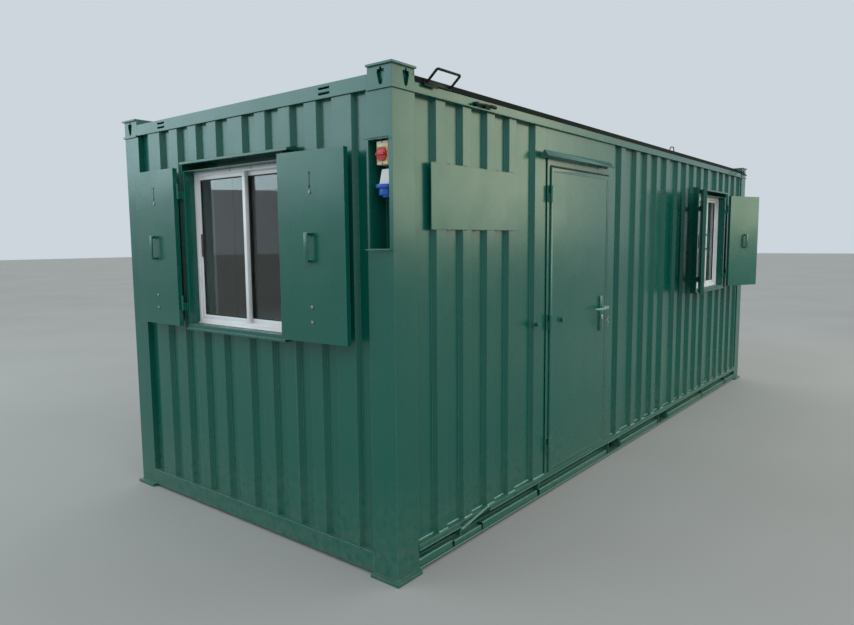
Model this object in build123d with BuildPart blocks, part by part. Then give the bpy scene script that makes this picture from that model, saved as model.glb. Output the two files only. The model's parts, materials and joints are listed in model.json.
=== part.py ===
"""Portable steel site cabin: a welded frame with corrugated walls, one door and two shuttered windows.

Millimetres, +Z up, standing on Z = 0. The origin is under the middle of the cabin. The door side
faces -Y and is called the front, so the end wall with a window faces -X and is called the left end.
"""

import os
from math import cos, radians, sin

from build123d import *

# Overall size over the corner posts, and to the top of the corner caps
length = 6400.0
width = 2438.0
height = 2540.0

# Corner posts: folded sections that stand on foot plates
post_leg = 167.0
post_sheet = 6.0
post_return = 44.0
foot_thick = 20.0
foot_overhang = 22.0

# Lifting boxes on top of the posts
box_along_end = 155.0
box_sheet = 8.0
cap_thick = 10.0
cap_overhang = 13.0
seat_thick = 12.0
seat_overhang = 9.0
lifting_box_high = 97.0
lifting_hole_wide = 48.0
lifting_hole_high = 82.0
lifting_hole_from_corner = 103.0
lifting_hole_from_corner_end = 69.0

# Bottom rails
side_rail_top = 150.0
end_rail_top = 125.0
rail_sheet = 6.0
rail_lip_depth = 76.0
rail_ledge_height = 66.0
rail_lower_web_depth = 42.0
gusset_thick = 10.0
gusset_shares = (0.084, 0.2215, 0.4015, 0.6, 0.775, 0.9095)
fork_pocket_wide = 210.0
fork_pocket_high = 84.0
fork_pocket_spacing = 1120.0
fork_pocket_wall = 5.0

# Top rails
end_fascia_below_top = 40.0
end_fascia_high = 70.0
end_fascia_depth = 60.0
side_fascia_below_top = 54.0
side_fascia_setback = 5.0
side_fascia_depth = 80.0
fascia_sheet = 4.0
drip_lip_thick = 6.0
louvre_slot_long = 80.0
louvre_slot_high = 9.0
louvre_slot_spacing = 26.0
louvre_hood_depth = 5.0
louvre_from_corner = 455.0

# Roof deck with its turned down edge
roof_deck_thick = 16.0
roof_edge_high = 27.0
roof_edge_thick = 5.0

# Corrugated wall sheets
wall_sheet = 3.0
crest_setback = 10.0
corrugation_depth = 26.0
flank_run = 16.0
side_crest = 78.0
side_valley = 156.0
side_seam_valley = 228.0
front_first_crest = 346.0
right_of_door_first_crest = 2692.0
end_crest = 92.0
end_seam_crest = 137.0
end_valley = 115.5

# Inner linings, floor and ceiling
lining_depth = 72.0
lining_thick = 12.0
ceiling_below_top = 190.0
floor_top = 165.0
floor_thick = 25.0
joist_wide = 60.0
joist_sheet = 5.0
joist_from_end = 200.0
joist_bays_each_side = 5

# Door and its frame, measured along the front from the left corner
door_leaf_start = 1537.0
door_leaf_wide = 888.0
door_leaf_bottom = 155.0
door_head_below_top = 363.0
door_leaf_thick = 46.0
door_gap = 5.0
door_frame_left_stile = 33.0
door_frame_right_stile = 133.0
door_frame_head = 58.0
door_frame_setback = 2.0
door_stop = 18.0
door_proud = 6.0
door_hinge_high = 104.0
door_hinge_radius = 9.0
door_hinge_from_bottom = 188.0
door_hinge_from_top = 169.0

# Door furniture
plate_wide = 60.0
plate_high = 262.0
plate_thick = 9.0
plate_centre_up_leaf = 1011.0
plate_from_edge = 105.0
lever_up_leaf = 1055.0
lever_neck_radius = 10.0
lever_stand_off = 52.0
lever_long = 178.0
lever_grip_extra = 2.0
lever_grip_thick = 13.0
lock_up_leaf = 981.0
lock_radius = 14.0
stay_up_leaf = 1023.0
stay_from_hinge = 166.0
stay_knob_radius = 17.0
stay_knob_high = 22.0
stay_catch_radius = 13.0
stay_catch_reach = 34.0

# Rain hood over the door: an angle that stands out from the frame as a shallow gutter
hood_leg = 52.0
hood_sheet = 5.0
hood_start = 1403.0
hood_long = 1070.0
hood_foot_below_frame = 14.0

# Windows: a steel box in the wall, a sliding window in it and two shutters
window_inner_wide = 904.0
window_inner_bottom = 1206.0
window_head_below_top = 394.0
window_box_side = 24.0
window_box_head = 48.0
window_box_proud = 45.0
window_hood_rise = 18.0
window_hood_proud = 14.0
window_hood_sheet = 4.0
window_hood_overrun = 58.0
window_sill_high = 12.0
front_window_from_right = 1450.0
sash_setback = 26.0
sash_depth = 44.0
sash_bar = 30.0
sash_track = 20.0
sash_step = 2.0
glass_thick = 4.0

# Shutters, each a folded steel tray with a pull handle
shutter_below_opening = 12.0
shutter_above_opening = 23.0
shutter_thick = 30.0
shutter_face_from_axis = 22.5
shutter_clear = 5.0
shutter_meeting_gap = 6.0
shutter_hinge_gap = 11.0
shutter_knuckle_radius = 8.0
shutter_knuckle_high = 92.0
shutter_hinge_offset = 345.0
hinge_strap = 5.0
end_near_shutter_open = 183.0
end_far_shutter_open = 181.0
front_near_shutter_open = 160.5
front_far_shutter_open = 157.0
pull_high = 132.0
pull_rod_radius = 6.0
pull_stand_off = 30.0

# Bent rods have flats round them, and bend in steps
rod_sides = 8
rod_bend_steps = 2

# Small turned pieces have flats round them too, but pins and their bores are round
knuckle_sides = 12
turned_sides = 24

# Hinge pins
pin_radius = 4.5
pin_clearance = 0.2
knuckle_gap = 1.0
knuckle_cap = 8.0

# Service recess in the front left post
recess_from_corner = 24.0
recess_wide = 131.0
recess_head_below_top = 347.0
recess_high = 518.0
recess_depth = 125.0
recess_sheet = 2.0
casing_clear = 20.0
isolator_wide = 76.0
isolator_high = 124.0
isolator_setback = 20.0
isolator_from_corner = 82.0
isolator_below_recess_top = 69.0
knob_radius = 32.0
knob_high = 22.0
knob_grip_high = 12.0
knob_grip_thick = 13.0
inlet_from_corner = 76.0
inlet_setback = 62.0
inlet_below_recess_top = 138.0
inlet_housing_high = 72.0
inlet_housing_top = 46.0
inlet_housing_bottom = 72.0
inlet_housing_top_reach = 27.0
collar_radius = 43.0
collar_high = 12.0
shroud_radius = 33.0
shroud_wall = 3.0
shroud_high = 40.0
lid_thick = 9.0
lid_pivot_radius = 4.0

# Bare board on the front
board_start = 243.0
board_wide = 861.0
board_head_below_top = 447.0
board_high = 323.0
board_depth = 45.0
board_sheet = 2.5

# Hoops on the roof edge
hoop_from_corner = 261.0
hoop_wide = 190.0
hoop_leg = 82.0
hoop_rod_radius = 6.0
hoop_rod_bend = 7.0
hoop_bend_radius = 14.0
hoop_lean = 50.0
hoop_base_long = 226.0
hoop_base_wide = 40.0
hoop_base_thick = 6.0
hoop_base_margin = 1.0

# Derived places
left = -length / 2
right = length / 2
front = -width / 2
back = width / 2
box_top = height - cap_thick
box_bottom = box_top - lifting_box_high
seat_bottom = box_bottom - seat_thick
side_fascia_top = height - side_fascia_below_top
end_fascia_top = height - end_fascia_below_top
end_fascia_bottom = end_fascia_top - end_fascia_high
ceiling_underside = height - ceiling_below_top
gusset_places = [share * length for share in gusset_shares]
wall_depth = crest_setback + corrugation_depth + wall_sheet
inner_face = lining_depth + lining_thick
roof_top = side_fascia_top + roof_deck_thick
door_leaf_top = height - door_head_below_top
door_leaf_high = door_leaf_top - door_leaf_bottom
door_frame_top = door_leaf_top + door_gap + door_frame_head
low_hinge = door_leaf_bottom + door_hinge_from_bottom
high_hinge = door_leaf_top - door_hinge_from_top
door_hinge_centres = (low_hinge, (low_hinge + high_hinge) / 2, high_hinge)
plate_centre_height = door_leaf_bottom + plate_centre_up_leaf
lever_height = door_leaf_bottom + lever_up_leaf
lock_height = door_leaf_bottom + lock_up_leaf
stay_height = door_leaf_bottom + stay_up_leaf
hood_foot_height = door_frame_top - hood_foot_below_frame
front_window_centre = length - front_window_from_right
joist_spacing = (length / 2 - joist_from_end) / joist_bays_each_side
door_opening_start = door_leaf_start - door_gap
door_opening_wide = door_leaf_wide + 2 * door_gap
door_frame_start = door_opening_start - door_frame_left_stile
door_frame_end = door_opening_start + door_opening_wide + door_frame_right_stile
door_axis_x = left + door_opening_start - door_hinge_radius
door_axis_y = front - door_proud - door_hinge_radius
window_box_wide = window_inner_wide + 2 * window_box_side
window_box_bottom = window_inner_bottom - window_box_side
window_inner_high = height - window_head_below_top - window_inner_bottom
window_box_top = window_inner_bottom + window_inner_high + window_box_head
shutter_axis_out = window_box_proud + shutter_clear + shutter_face_from_axis
shutter_axis_side = window_box_wide / 2 + shutter_knuckle_radius
shutter_wide = shutter_axis_side - shutter_hinge_gap - shutter_meeting_gap / 2
shutter_bottom = window_inner_bottom - shutter_below_opening
shutter_high = window_inner_high + shutter_below_opening + shutter_above_opening
recess_top = height - recess_head_below_top
recess_bottom = recess_top - recess_high
isolator_centre_height = recess_top - isolator_below_recess_top
inlet_top = recess_top - inlet_below_recess_top
board_bottom = height - board_head_below_top - board_high

os.makedirs("parts", exist_ok=True)


def save(piece, label):
    """Write one finished piece under its own name."""
    piece.label = label
    export_step(piece, f"parts/{label}.step")


def block(x0, x1, y0, y1, z0, z1, mode=Mode.ADD):
    """A block between its limits, joined to the part that is open."""
    with Locations(((x0 + x1) / 2, (y0 + y1) / 2, (z0 + z1) / 2)):
        Box(x1 - x0, y1 - y0, z1 - z0, mode=mode)


def folded_outline(points, sheet, side=Side.LEFT):
    """The closed section of a sheet folded along the given points."""
    with BuildLine() as path:
        Polyline(*points)
        offset(amount=sheet, side=side, kind=Kind.INTERSECTION, closed=True)
    make_face(path.edges())


def bent_rod(points, bend, radius):
    """A rod of flats swept along a path whose corners are eased over the given length."""
    path = [Vector(*points[0])]
    for before, corner, after in zip(points, points[1:], points[2:]):
        corner = Vector(*corner)
        arrive = corner + (Vector(*before) - corner).normalized() * bend
        leave = corner + (Vector(*after) - corner).normalized() * bend
        for step in range(rod_bend_steps + 1):
            t = step / rod_bend_steps
            path.append(arrive * (1 - t) ** 2 + corner * 2 * t * (1 - t) + leave * t**2)
    path.append(Vector(*points[-1]))
    with BuildPart() as rod:
        with BuildLine() as line:
            Polyline(*path)
        with BuildSketch(Plane(path[0], z_dir=path[1] - path[0])):
            RegularPolygon(radius, rod_sides)
        sweep(path=line.wire(), transition=Transition.RIGHT)
    return rod.part


def mirrored(piece, plane):
    """A copy of a piece seen in a mirror."""
    return mirror(piece, about=plane)


def together(*pieces):
    """Like pieces that don't touch, kept as one part."""
    with BuildPart() as group:
        for piece in pieces:
            add(piece)
    return group.part


# Corner posts


def corner_post(with_recess):
    """The front left post, from its foot plate to the seat under the lifting box."""
    with BuildPart() as post:
        with BuildSketch(Plane((left, front, foot_thick))):
            folded_outline(
                [
                    (post_return, post_leg),
                    (0, post_leg),
                    (0, 0),
                    (post_leg, 0),
                    (post_leg, post_return),
                ],
                post_sheet,
            )
        extrude(amount=seat_bottom - foot_thick)
        block(
            left - foot_overhang,
            left + post_leg,
            front - foot_overhang,
            front + post_leg,
            0,
            foot_thick,
        )
        if with_recess:
            start = front + recess_from_corner
            block(
                left - post_sheet,
                left + 2 * post_sheet,
                start,
                start + recess_wide,
                recess_bottom,
                recess_bottom + recess_high,
                Mode.SUBTRACT,
            )
    return post.part


def lifting_hole_outline():
    """One lifting hole: broad at the top with a small notch, and round at the bottom."""
    half = lifting_hole_wide / 2
    top = lifting_hole_high / 2
    shoulder = top - lifting_hole_high / 8
    notch = half / 4
    foot = half * 0.55
    with BuildLine() as outline:
        Polyline(
            (-foot, foot - top),
            (-half, shoulder / 2),
            (-half + notch / 2, shoulder),
            (-notch, shoulder),
            (-notch, top),
            (notch, top),
            (notch, shoulder),
            (half - notch / 2, shoulder),
            (half, shoulder / 2),
            (foot, foot - top),
        )
        ThreePointArc((foot, foot - top), (0, -top), (-foot, foot - top))
    make_face(outline.edges())


def lifting_box():
    """The hollow box on the front left post, with its cap, its seat and two lifting holes."""
    x1 = left + post_leg
    y1 = front + box_along_end
    middle = (box_bottom + box_top) / 2
    with BuildPart() as box:
        block(left, x1, front, y1, box_bottom, box_top)
        block(
            left + box_sheet,
            x1 - box_sheet,
            front + box_sheet,
            y1 - box_sheet,
            box_bottom,
            box_top,
            Mode.SUBTRACT,
        )
        block(left - cap_overhang, x1, front - cap_overhang, y1, box_top, height)
        block(left - seat_overhang, x1, front - seat_overhang, y1, seat_bottom, box_bottom)
        side_centre = (left + lifting_hole_from_corner, front, middle)
        end_centre = (left, front + lifting_hole_from_corner_end, middle)
        side_face = Plane(side_centre, x_dir=(1, 0, 0), z_dir=(0, -1, 0))
        end_face = Plane(end_centre, x_dir=(0, -1, 0), z_dir=(-1, 0, 0))
        for face in (side_face, end_face):
            with BuildSketch(face):
                lifting_hole_outline()
            extrude(amount=-2 * box_sheet, mode=Mode.SUBTRACT)
    return box.part


plain_post = corner_post(False)
front_left_box = lifting_box()
save(corner_post(True), "post_front_left")
save(mirrored(plain_post, Plane.YZ), "post_front_right")
save(mirrored(plain_post, Plane.XZ), "post_back_left")
save(mirrored(mirrored(plain_post, Plane.YZ), Plane.XZ), "post_back_right")
save(front_left_box, "lifting_box_front_left")
save(mirrored(front_left_box, Plane.YZ), "lifting_box_front_right")
save(mirrored(front_left_box, Plane.XZ), "lifting_box_back_left")
save(mirrored(mirrored(front_left_box, Plane.YZ), Plane.XZ), "lifting_box_back_right")


# Bottom rails


def bottom_side_rail():
    """The front bottom rail: a folded channel with gussets and two fork pockets."""
    x0 = left + post_leg
    x1 = right - post_leg
    with BuildPart() as rail:
        with BuildSketch(Plane((x0, front, 0), x_dir=(0, 1, 0), z_dir=(1, 0, 0))):
            folded_outline(
                [
                    (0, side_rail_top - 2 * rail_sheet),
                    (0, side_rail_top),
                    (rail_lip_depth, side_rail_top),
                    (rail_lip_depth, rail_ledge_height),
                    (rail_lower_web_depth, rail_ledge_height),
                    (rail_lower_web_depth, foot_thick),
                    (-rail_sheet / 2, foot_thick),
                ],
                rail_sheet,
                Side.RIGHT,
            )
        extrude(amount=x1 - x0)
        half = fork_pocket_wide / 2 + fork_pocket_wall
        pocket_top = foot_thick + fork_pocket_high + 2 * fork_pocket_wall
        for place in gusset_places:
            with BuildSketch(Plane((left + place, front, 0), x_dir=(0, 1, 0), z_dir=(1, 0, 0))):
                with BuildLine() as gusset:
                    Polyline(
                        (rail_sheet, rail_ledge_height),
                        (rail_lower_web_depth, rail_ledge_height),
                        (rail_lip_depth, rail_ledge_height),
                        (rail_lip_depth, side_rail_top),
                        (0, side_rail_top),
                        close=True,
                    )
                make_face(gusset.edges())
            extrude(amount=gusset_thick)
        for centre in (-fork_pocket_spacing / 2, fork_pocket_spacing / 2):
            block(centre - half, centre + half, front, front + lining_depth, foot_thick, pocket_top)
        for centre in (-fork_pocket_spacing / 2, fork_pocket_spacing / 2):
            block(
                centre - fork_pocket_wide / 2,
                centre + fork_pocket_wide / 2,
                front - post_leg,
                front + post_leg,
                foot_thick + fork_pocket_wall,
                pocket_top - fork_pocket_wall,
                Mode.SUBTRACT,
            )
    return rail.part


def bottom_end_rail():
    """The left bottom rail: a plain box section between the posts."""
    y0 = front + post_leg
    y1 = back - post_leg
    with BuildPart() as rail:
        with BuildSketch(Plane((left, y0, foot_thick), x_dir=(1, 0, 0), z_dir=(0, 1, 0))):
            Rectangle(lining_depth, end_rail_top - foot_thick, align=(Align.MIN, Align.MAX))
            with Locations((rail_sheet, -rail_sheet)):
                Rectangle(
                    lining_depth - 2 * rail_sheet,
                    end_rail_top - foot_thick - 2 * rail_sheet,
                    align=(Align.MIN, Align.MAX),
                    mode=Mode.SUBTRACT,
                )
        extrude(amount=y1 - y0)
    return rail.part


front_rail = bottom_side_rail()
left_rail = bottom_end_rail()
save(together(front_rail, mirrored(front_rail, Plane.XZ)), "bottom_side_rails")
save(together(left_rail, mirrored(left_rail, Plane.YZ)), "bottom_end_rails")


# Top rails


def top_end_rail():
    """The left top rail: a fascia box between the lifting boxes, with two louvred vents."""
    y0 = front + box_along_end
    y1 = back - box_along_end
    middle = (end_fascia_bottom + end_fascia_top) / 2
    with BuildPart() as rail:
        block(left, left + end_fascia_depth, y0, y1, end_fascia_bottom, end_fascia_top)
        block(
            left + fascia_sheet,
            left + end_fascia_depth - fascia_sheet,
            y0,
            y1,
            end_fascia_bottom + fascia_sheet,
            end_fascia_top - fascia_sheet,
            Mode.SUBTRACT,
        )
        for vent_y in (front + louvre_from_corner, back - louvre_from_corner):
            for slot_z in (middle - louvre_slot_spacing / 2, middle + louvre_slot_spacing / 2):
                block(
                    left - fascia_sheet,
                    left + 2 * fascia_sheet,
                    vent_y - louvre_slot_long / 2,
                    vent_y + louvre_slot_long / 2,
                    slot_z - louvre_slot_high / 2,
                    slot_z + louvre_slot_high / 2,
                    Mode.SUBTRACT,
                )
                slot_head = (left, vent_y, slot_z + louvre_slot_high / 2)
                hood = Plane(slot_head, x_dir=(-1, 0, 0), z_dir=(0, 1, 0))
                with BuildSketch(hood):
                    with BuildLine():
                        Polyline(
                            (0, 0),
                            (louvre_hood_depth, 0),
                            (0, louvre_hood_depth),
                            close=True,
                        )
                    make_face()
                extrude(amount=louvre_slot_long / 2, both=True)
    return rail.part


def top_side_rail():
    """The front top rail: a box section with a drip lip along its bottom edge."""
    x0 = left + post_leg
    x1 = right - post_leg
    y0 = front + side_fascia_setback
    y1 = y0 + side_fascia_depth
    with BuildPart() as rail:
        block(x0, x1, y0, y1, seat_bottom, side_fascia_top)
        block(
            x0,
            x1,
            y0 + fascia_sheet,
            y1 - fascia_sheet,
            seat_bottom + fascia_sheet,
            side_fascia_top - fascia_sheet,
            Mode.SUBTRACT,
        )
        block(x0, x1, front - seat_overhang, y0, seat_bottom, seat_bottom + drip_lip_thick)
    return rail.part


front_top_rail = top_side_rail()
left_top_rail = top_end_rail()
save(together(front_top_rail, mirrored(front_top_rail, Plane.XZ)), "top_side_rails")
save(together(left_top_rail, mirrored(left_top_rail, Plane.YZ)), "top_end_rails")

# Roof deck

with BuildPart() as roof:
    block(
        left + end_fascia_depth,
        right - end_fascia_depth,
        front + box_along_end,
        back - box_along_end,
        side_fascia_top,
        roof_top,
    )
    block(
        left + post_leg,
        right - post_leg,
        front + side_fascia_setback,
        back - side_fascia_setback,
        side_fascia_top,
        roof_top,
    )
    for outer, inner in (
        (front + side_fascia_setback - roof_edge_thick, front + side_fascia_setback),
        (back - side_fascia_setback, back - side_fascia_setback + roof_edge_thick),
    ):
        block(left + post_leg, right - post_leg, outer, inner, roof_top - roof_edge_high, roof_top)
save(roof.part, "roof_deck")

# Corrugated walls


def side_crests(first, sheets):
    """Starts of the outer flats along a side wall, given how many narrow valleys each sheet has."""
    starts = [first]
    for narrow in sheets:
        for _ in range(narrow):
            starts.append(starts[-1] + side_crest + side_valley)
        starts.append(starts[-1] + side_crest + side_seam_valley)
    return starts


def sheet_path(start, end, crests):
    """Points along a corrugated sheet, as distance along the wall and depth behind its face."""
    low = crest_setback + corrugation_depth
    points = []
    for crest_start, crest_end in crests:
        if crest_start > start:
            points.append((crest_start - flank_run, low))
            points.append((crest_start, crest_setback))
        if crest_end < end:
            points.append((crest_end, crest_setback))
            points.append((crest_end + flank_run, low))
    first_depth = crest_setback if crests[0][0] <= start else low
    last_depth = crest_setback if crests[-1][1] >= end else low
    return [(start, first_depth)] + points + [(end, last_depth)]


def corrugated(plane, path, bottom, top):
    """A corrugated sheet that stands on the plane's origin line, from its bottom to its top."""
    with BuildPart() as wall:
        with BuildSketch(plane.offset(bottom)):
            folded_outline(path, wall_sheet)
        extrude(amount=top - bottom)
    return wall.part


def cut_to(piece, x0, x1, y0, y1, z0, z1):
    """The part of a sheet inside the given limits."""
    with BuildPart() as part:
        add(piece)
        block(x0, x1, y0, y1, z0, z1, Mode.INTERSECT)
    return part.part


front_plane = Plane((left, front, 0), x_dir=(1, 0, 0), z_dir=(0, 0, 1))
wall_near = front - post_leg
wall_far = front + post_leg
front_window_start = left + front_window_centre - window_box_wide / 2
front_window_end = front_window_start + window_box_wide

left_starts = [front_first_crest + n * (side_crest + side_valley) for n in range(4)]
left_crests = [(start, start + side_crest) for start in left_starts]
margin_start = left_crests[-1][1] + side_seam_valley
left_crests.append((margin_start, length))
left_path = sheet_path(post_leg, door_frame_start, left_crests)
wall_by_door = corrugated(front_plane, left_path, side_rail_top, seat_bottom)

right_starts = side_crests(right_of_door_first_crest, (0, 3, 4))
right_starts += [right_starts[-1] + n * (side_crest + side_valley) for n in range(1, 5)]
right_crests = [(start, start + side_crest) for start in right_starts if start < length - post_leg]
right_path = sheet_path(door_frame_end, length - post_leg, right_crests)
right_sheet = corrugated(front_plane, right_path, side_rail_top, seat_bottom)
save(
    cut_to(right_sheet, left, front_window_start, wall_near, wall_far, 0, height),
    "front_wall_middle",
)
front_over = cut_to(
    right_sheet, front_window_start, front_window_end, wall_near, wall_far, window_box_top, height
)
front_under = cut_to(
    right_sheet, front_window_start, front_window_end, wall_near, wall_far, 0, window_box_bottom
)
save(together(front_over, front_under), "front_wall_over_and_under_window")
save(
    cut_to(right_sheet, front_window_end, right, wall_near, wall_far, 0, height),
    "front_wall_right",
)

with BuildPart() as over_door:
    block(
        left + door_frame_start,
        left + door_frame_end,
        front + crest_setback,
        front + wall_depth,
        door_frame_top,
        seat_bottom,
    )
    block(
        left + door_frame_start + wall_sheet,
        left + door_frame_end - wall_sheet,
        front + crest_setback + wall_sheet,
        front + wall_depth,
        door_frame_top + wall_sheet,
        seat_bottom - wall_sheet,
        Mode.SUBTRACT,
    )
save(over_door.part, "front_wall_over_door")

back_count = int((length - 2 * post_leg) / (side_crest + side_valley))
back_first = (length - (back_count - 1) * (side_crest + side_valley) - side_crest) / 2
back_crests = [
    (start, start + side_crest)
    for start in (back_first + n * (side_crest + side_valley) for n in range(back_count))
]
back_plane = Plane((right, back, 0), x_dir=(-1, 0, 0), z_dir=(0, 0, 1))
back_path = sheet_path(post_leg, length - post_leg, back_crests)
save(corrugated(back_plane, back_path, side_rail_top, seat_bottom), "back_wall")


def end_crests():
    """Limits of the outer flats of an end wall: two sheets that meet in its middle."""
    middle = width / 2
    half = end_seam_crest / 2
    limits = [(middle - half, middle + half)]
    place = half + end_valley
    for _ in range(3):
        limits.append((middle + place, middle + place + end_crest))
        limits.append((middle - place - end_crest, middle - place))
        place += end_crest + end_valley
    limits.append((middle + place, middle + place + end_seam_crest))
    limits.append((middle - place - end_seam_crest, middle - place))
    return sorted(limits)


left_plane = Plane((left, back, 0), x_dir=(0, -1, 0), z_dir=(0, 0, 1))
right_plane = Plane((right, front, 0), x_dir=(0, 1, 0), z_dir=(0, 0, 1))
end_path = sheet_path(post_leg, width - post_leg, end_crests())
left_sheet = corrugated(left_plane, end_path, end_rail_top, end_fascia_bottom)
half_box = window_box_wide / 2
end_near = left - post_leg
end_far = left + post_leg
left_over = cut_to(left_sheet, end_near, end_far, -half_box, half_box, window_box_top, height)
left_under = cut_to(left_sheet, end_near, end_far, -half_box, half_box, 0, window_box_bottom)
save(cut_to(left_sheet, end_near, end_far, front, -half_box, 0, height), "left_wall_front")
save(cut_to(left_sheet, end_near, end_far, half_box, back, 0, height), "left_wall_back")
save(together(left_over, left_under), "left_wall_over_and_under_window")
save(corrugated(right_plane, end_path, end_rail_top, end_fascia_bottom), "right_wall")


# Inner linings, ceiling and floor

casing_side = post_leg + casing_clear
casing_depth = recess_depth + casing_clear

with BuildPart() as front_lining:
    block(
        left + casing_depth + lining_thick,
        right - lining_depth,
        front + lining_depth,
        front + inner_face,
        floor_top,
        ceiling_underside,
    )
    block(
        left + door_frame_start,
        left + door_frame_end,
        front,
        front + post_leg,
        0,
        door_frame_top,
        Mode.SUBTRACT,
    )
    block(
        front_window_start,
        front_window_end,
        front,
        front + post_leg,
        window_box_bottom,
        window_box_top,
        Mode.SUBTRACT,
    )
save(front_lining.part, "front_lining")

with BuildPart() as back_lining:
    block(
        left + lining_depth,
        right - lining_depth,
        back - inner_face,
        back - lining_depth,
        floor_top,
        ceiling_underside,
    )
save(back_lining.part, "back_lining")

with BuildPart() as left_lining:
    block(
        left + lining_depth,
        left + inner_face,
        front + casing_side + lining_thick,
        back - inner_face,
        floor_top,
        ceiling_underside,
    )
    block(
        left,
        left + post_leg,
        -half_box,
        half_box,
        window_box_bottom,
        window_box_top,
        Mode.SUBTRACT,
    )
save(left_lining.part, "left_lining")

with BuildPart() as right_lining:
    block(
        right - inner_face,
        right - lining_depth,
        front + inner_face,
        back - inner_face,
        floor_top,
        ceiling_underside,
    )
save(right_lining.part, "right_lining")

with BuildPart() as casing:
    with BuildSketch(Plane((left, front, floor_top))):
        folded_outline(
            [
                (casing_depth + lining_thick, lining_depth),
                (casing_depth + lining_thick, casing_side + lining_thick),
                (lining_depth, casing_side + lining_thick),
            ],
            lining_thick,
        )
    extrude(amount=ceiling_underside - floor_top)
save(casing.part, "corner_casing")

with BuildPart() as ceiling:
    block(
        left + lining_depth,
        right - lining_depth,
        front + lining_depth,
        back - lining_depth,
        ceiling_underside,
        ceiling_underside + lining_thick,
    )
save(ceiling.part, "ceiling")

with BuildPart() as floor:
    block(
        left + lining_depth,
        right - lining_depth,
        front + lining_depth + rail_sheet,
        back - lining_depth - rail_sheet,
        floor_top - floor_thick,
        floor_top,
    )
    block(
        left + door_frame_start,
        left + door_frame_end,
        front,
        front + inner_face,
        side_rail_top,
        floor_top,
        Mode.SUBTRACT,
    )
save(floor.part, "floor_deck")

with BuildPart() as joists:
    for number in range(-joist_bays_each_side, joist_bays_each_side + 1):
        middle = number * joist_spacing
        in_pocket = abs(abs(middle) - fork_pocket_spacing / 2) < fork_pocket_wide / 2 + joist_wide
        if not in_pocket:
            plane = Plane(
                (middle, front + rail_lip_depth, floor_top - floor_thick),
                x_dir=(-1, 0, 0),
                z_dir=(0, 1, 0),
            )
            deep = floor_top - floor_thick - rail_ledge_height + rail_sheet
            with BuildSketch(plane):
                folded_outline(
                    [
                        (joist_wide / 2, 0),
                        (-joist_wide / 2, 0),
                        (-joist_wide / 2, -deep),
                        (joist_wide / 2, -deep),
                    ],
                    joist_sheet,
                )
            extrude(amount=width - 2 * rail_lip_depth)
save(joists.part, "floor_joists")


# Door


def frame_ring(outer, inner, near, far):
    """A flat ring between two upright rectangles, from one depth to another behind the front."""
    for limits, mode in ((outer, Mode.ADD), (inner, Mode.SUBTRACT)):
        x0, x1, z0, z1 = limits
        block(x0, x1, front + near, front + far, z0, z1, mode)


def grown(limits, sides, top, bottom):
    """The limits of an upright rectangle moved outward by the given amounts."""
    x0, x1, z0, z1 = limits
    return (x0 - sides, x1 + sides, z0 - bottom, z1 + top)


def knuckle(axis, centre, high, radius, fixed):
    """Half of a lift-off hinge on its axis: the lower knuckle with its pin, or the upper one."""
    x, y = axis
    each = (high - knuckle_gap) / 2
    upward = (Align.CENTER, Align.CENTER, Align.MIN)
    low = centre - high / 2 if fixed else centre + knuckle_gap / 2
    with BuildSketch(Plane((x, y, low))) as outline:
        RegularPolygon(radius, knuckle_sides)
    extrude(outline.sketch, amount=each)
    with Locations((x, y, low)):
        if fixed:
            Cylinder(pin_radius, high - 2 * knuckle_cap, align=upward)
        else:
            Cylinder(pin_radius + pin_clearance, each - knuckle_cap, align=upward, mode=Mode.SUBTRACT)


door_opening = (
    left + door_opening_start,
    left + door_opening_start + door_opening_wide,
    side_rail_top,
    door_leaf_bottom + door_leaf_high + door_gap,
)
door_outer = (left + door_frame_start, left + door_frame_end, side_rail_top, door_frame_top)
stop_opening = grown(door_opening, -door_stop, -door_stop, 0)
stop_depth = door_leaf_thick - door_proud + 2 * door_gap

with BuildPart() as door_frame:
    frame_ring(door_outer, door_opening, door_frame_setback, stop_depth)
    frame_ring(door_outer, stop_opening, stop_depth, inner_face)
    cavity_outer = grown(door_outer, wall_sheet, wall_sheet, 0)
    cavities = (
        (door_opening, door_frame_setback + wall_sheet, stop_depth + wall_sheet),
        (stop_opening, stop_depth + wall_sheet, inner_face - wall_sheet),
    )
    for edge, near, far in cavities:
        inside = grown(edge, wall_sheet, wall_sheet, 0)
        for x0, x1, z0, z1 in (
            (cavity_outer[0], inside[0], side_rail_top, door_frame_top - wall_sheet),
            (inside[1], cavity_outer[1], side_rail_top, door_frame_top - wall_sheet),
            (inside[0], inside[1], inside[3], door_frame_top - wall_sheet),
        ):
            block(x0, x1, front + near, front + far, z0, z1, Mode.SUBTRACT)
    block(
        stop_opening[0],
        stop_opening[1],
        front + stop_depth,
        front + inner_face,
        side_rail_top,
        floor_top + door_gap,
    )
    for centre in door_hinge_centres:
        block(
            door_axis_x - door_hinge_radius,
            door_axis_x,
            door_axis_y,
            front + door_frame_setback,
            centre - door_hinge_high / 2,
            centre - knuckle_gap / 2,
        )
        block(
            left + door_frame_start + hinge_strap,
            door_axis_x,
            front + door_frame_setback - hinge_strap,
            front + door_frame_setback,
            centre - door_hinge_high / 2,
            centre + door_hinge_high / 2,
        )
        knuckle((door_axis_x, door_axis_y), centre, door_hinge_high, door_hinge_radius, True)
save(door_frame.part, "door_frame")

leaf_start = left + door_leaf_start
leaf_end = leaf_start + door_leaf_wide
leaf_face = front - door_proud
plate_x = leaf_end - plate_from_edge
plate_face = leaf_face - plate_thick
inner_leaf_face = leaf_face + door_leaf_thick

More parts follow.
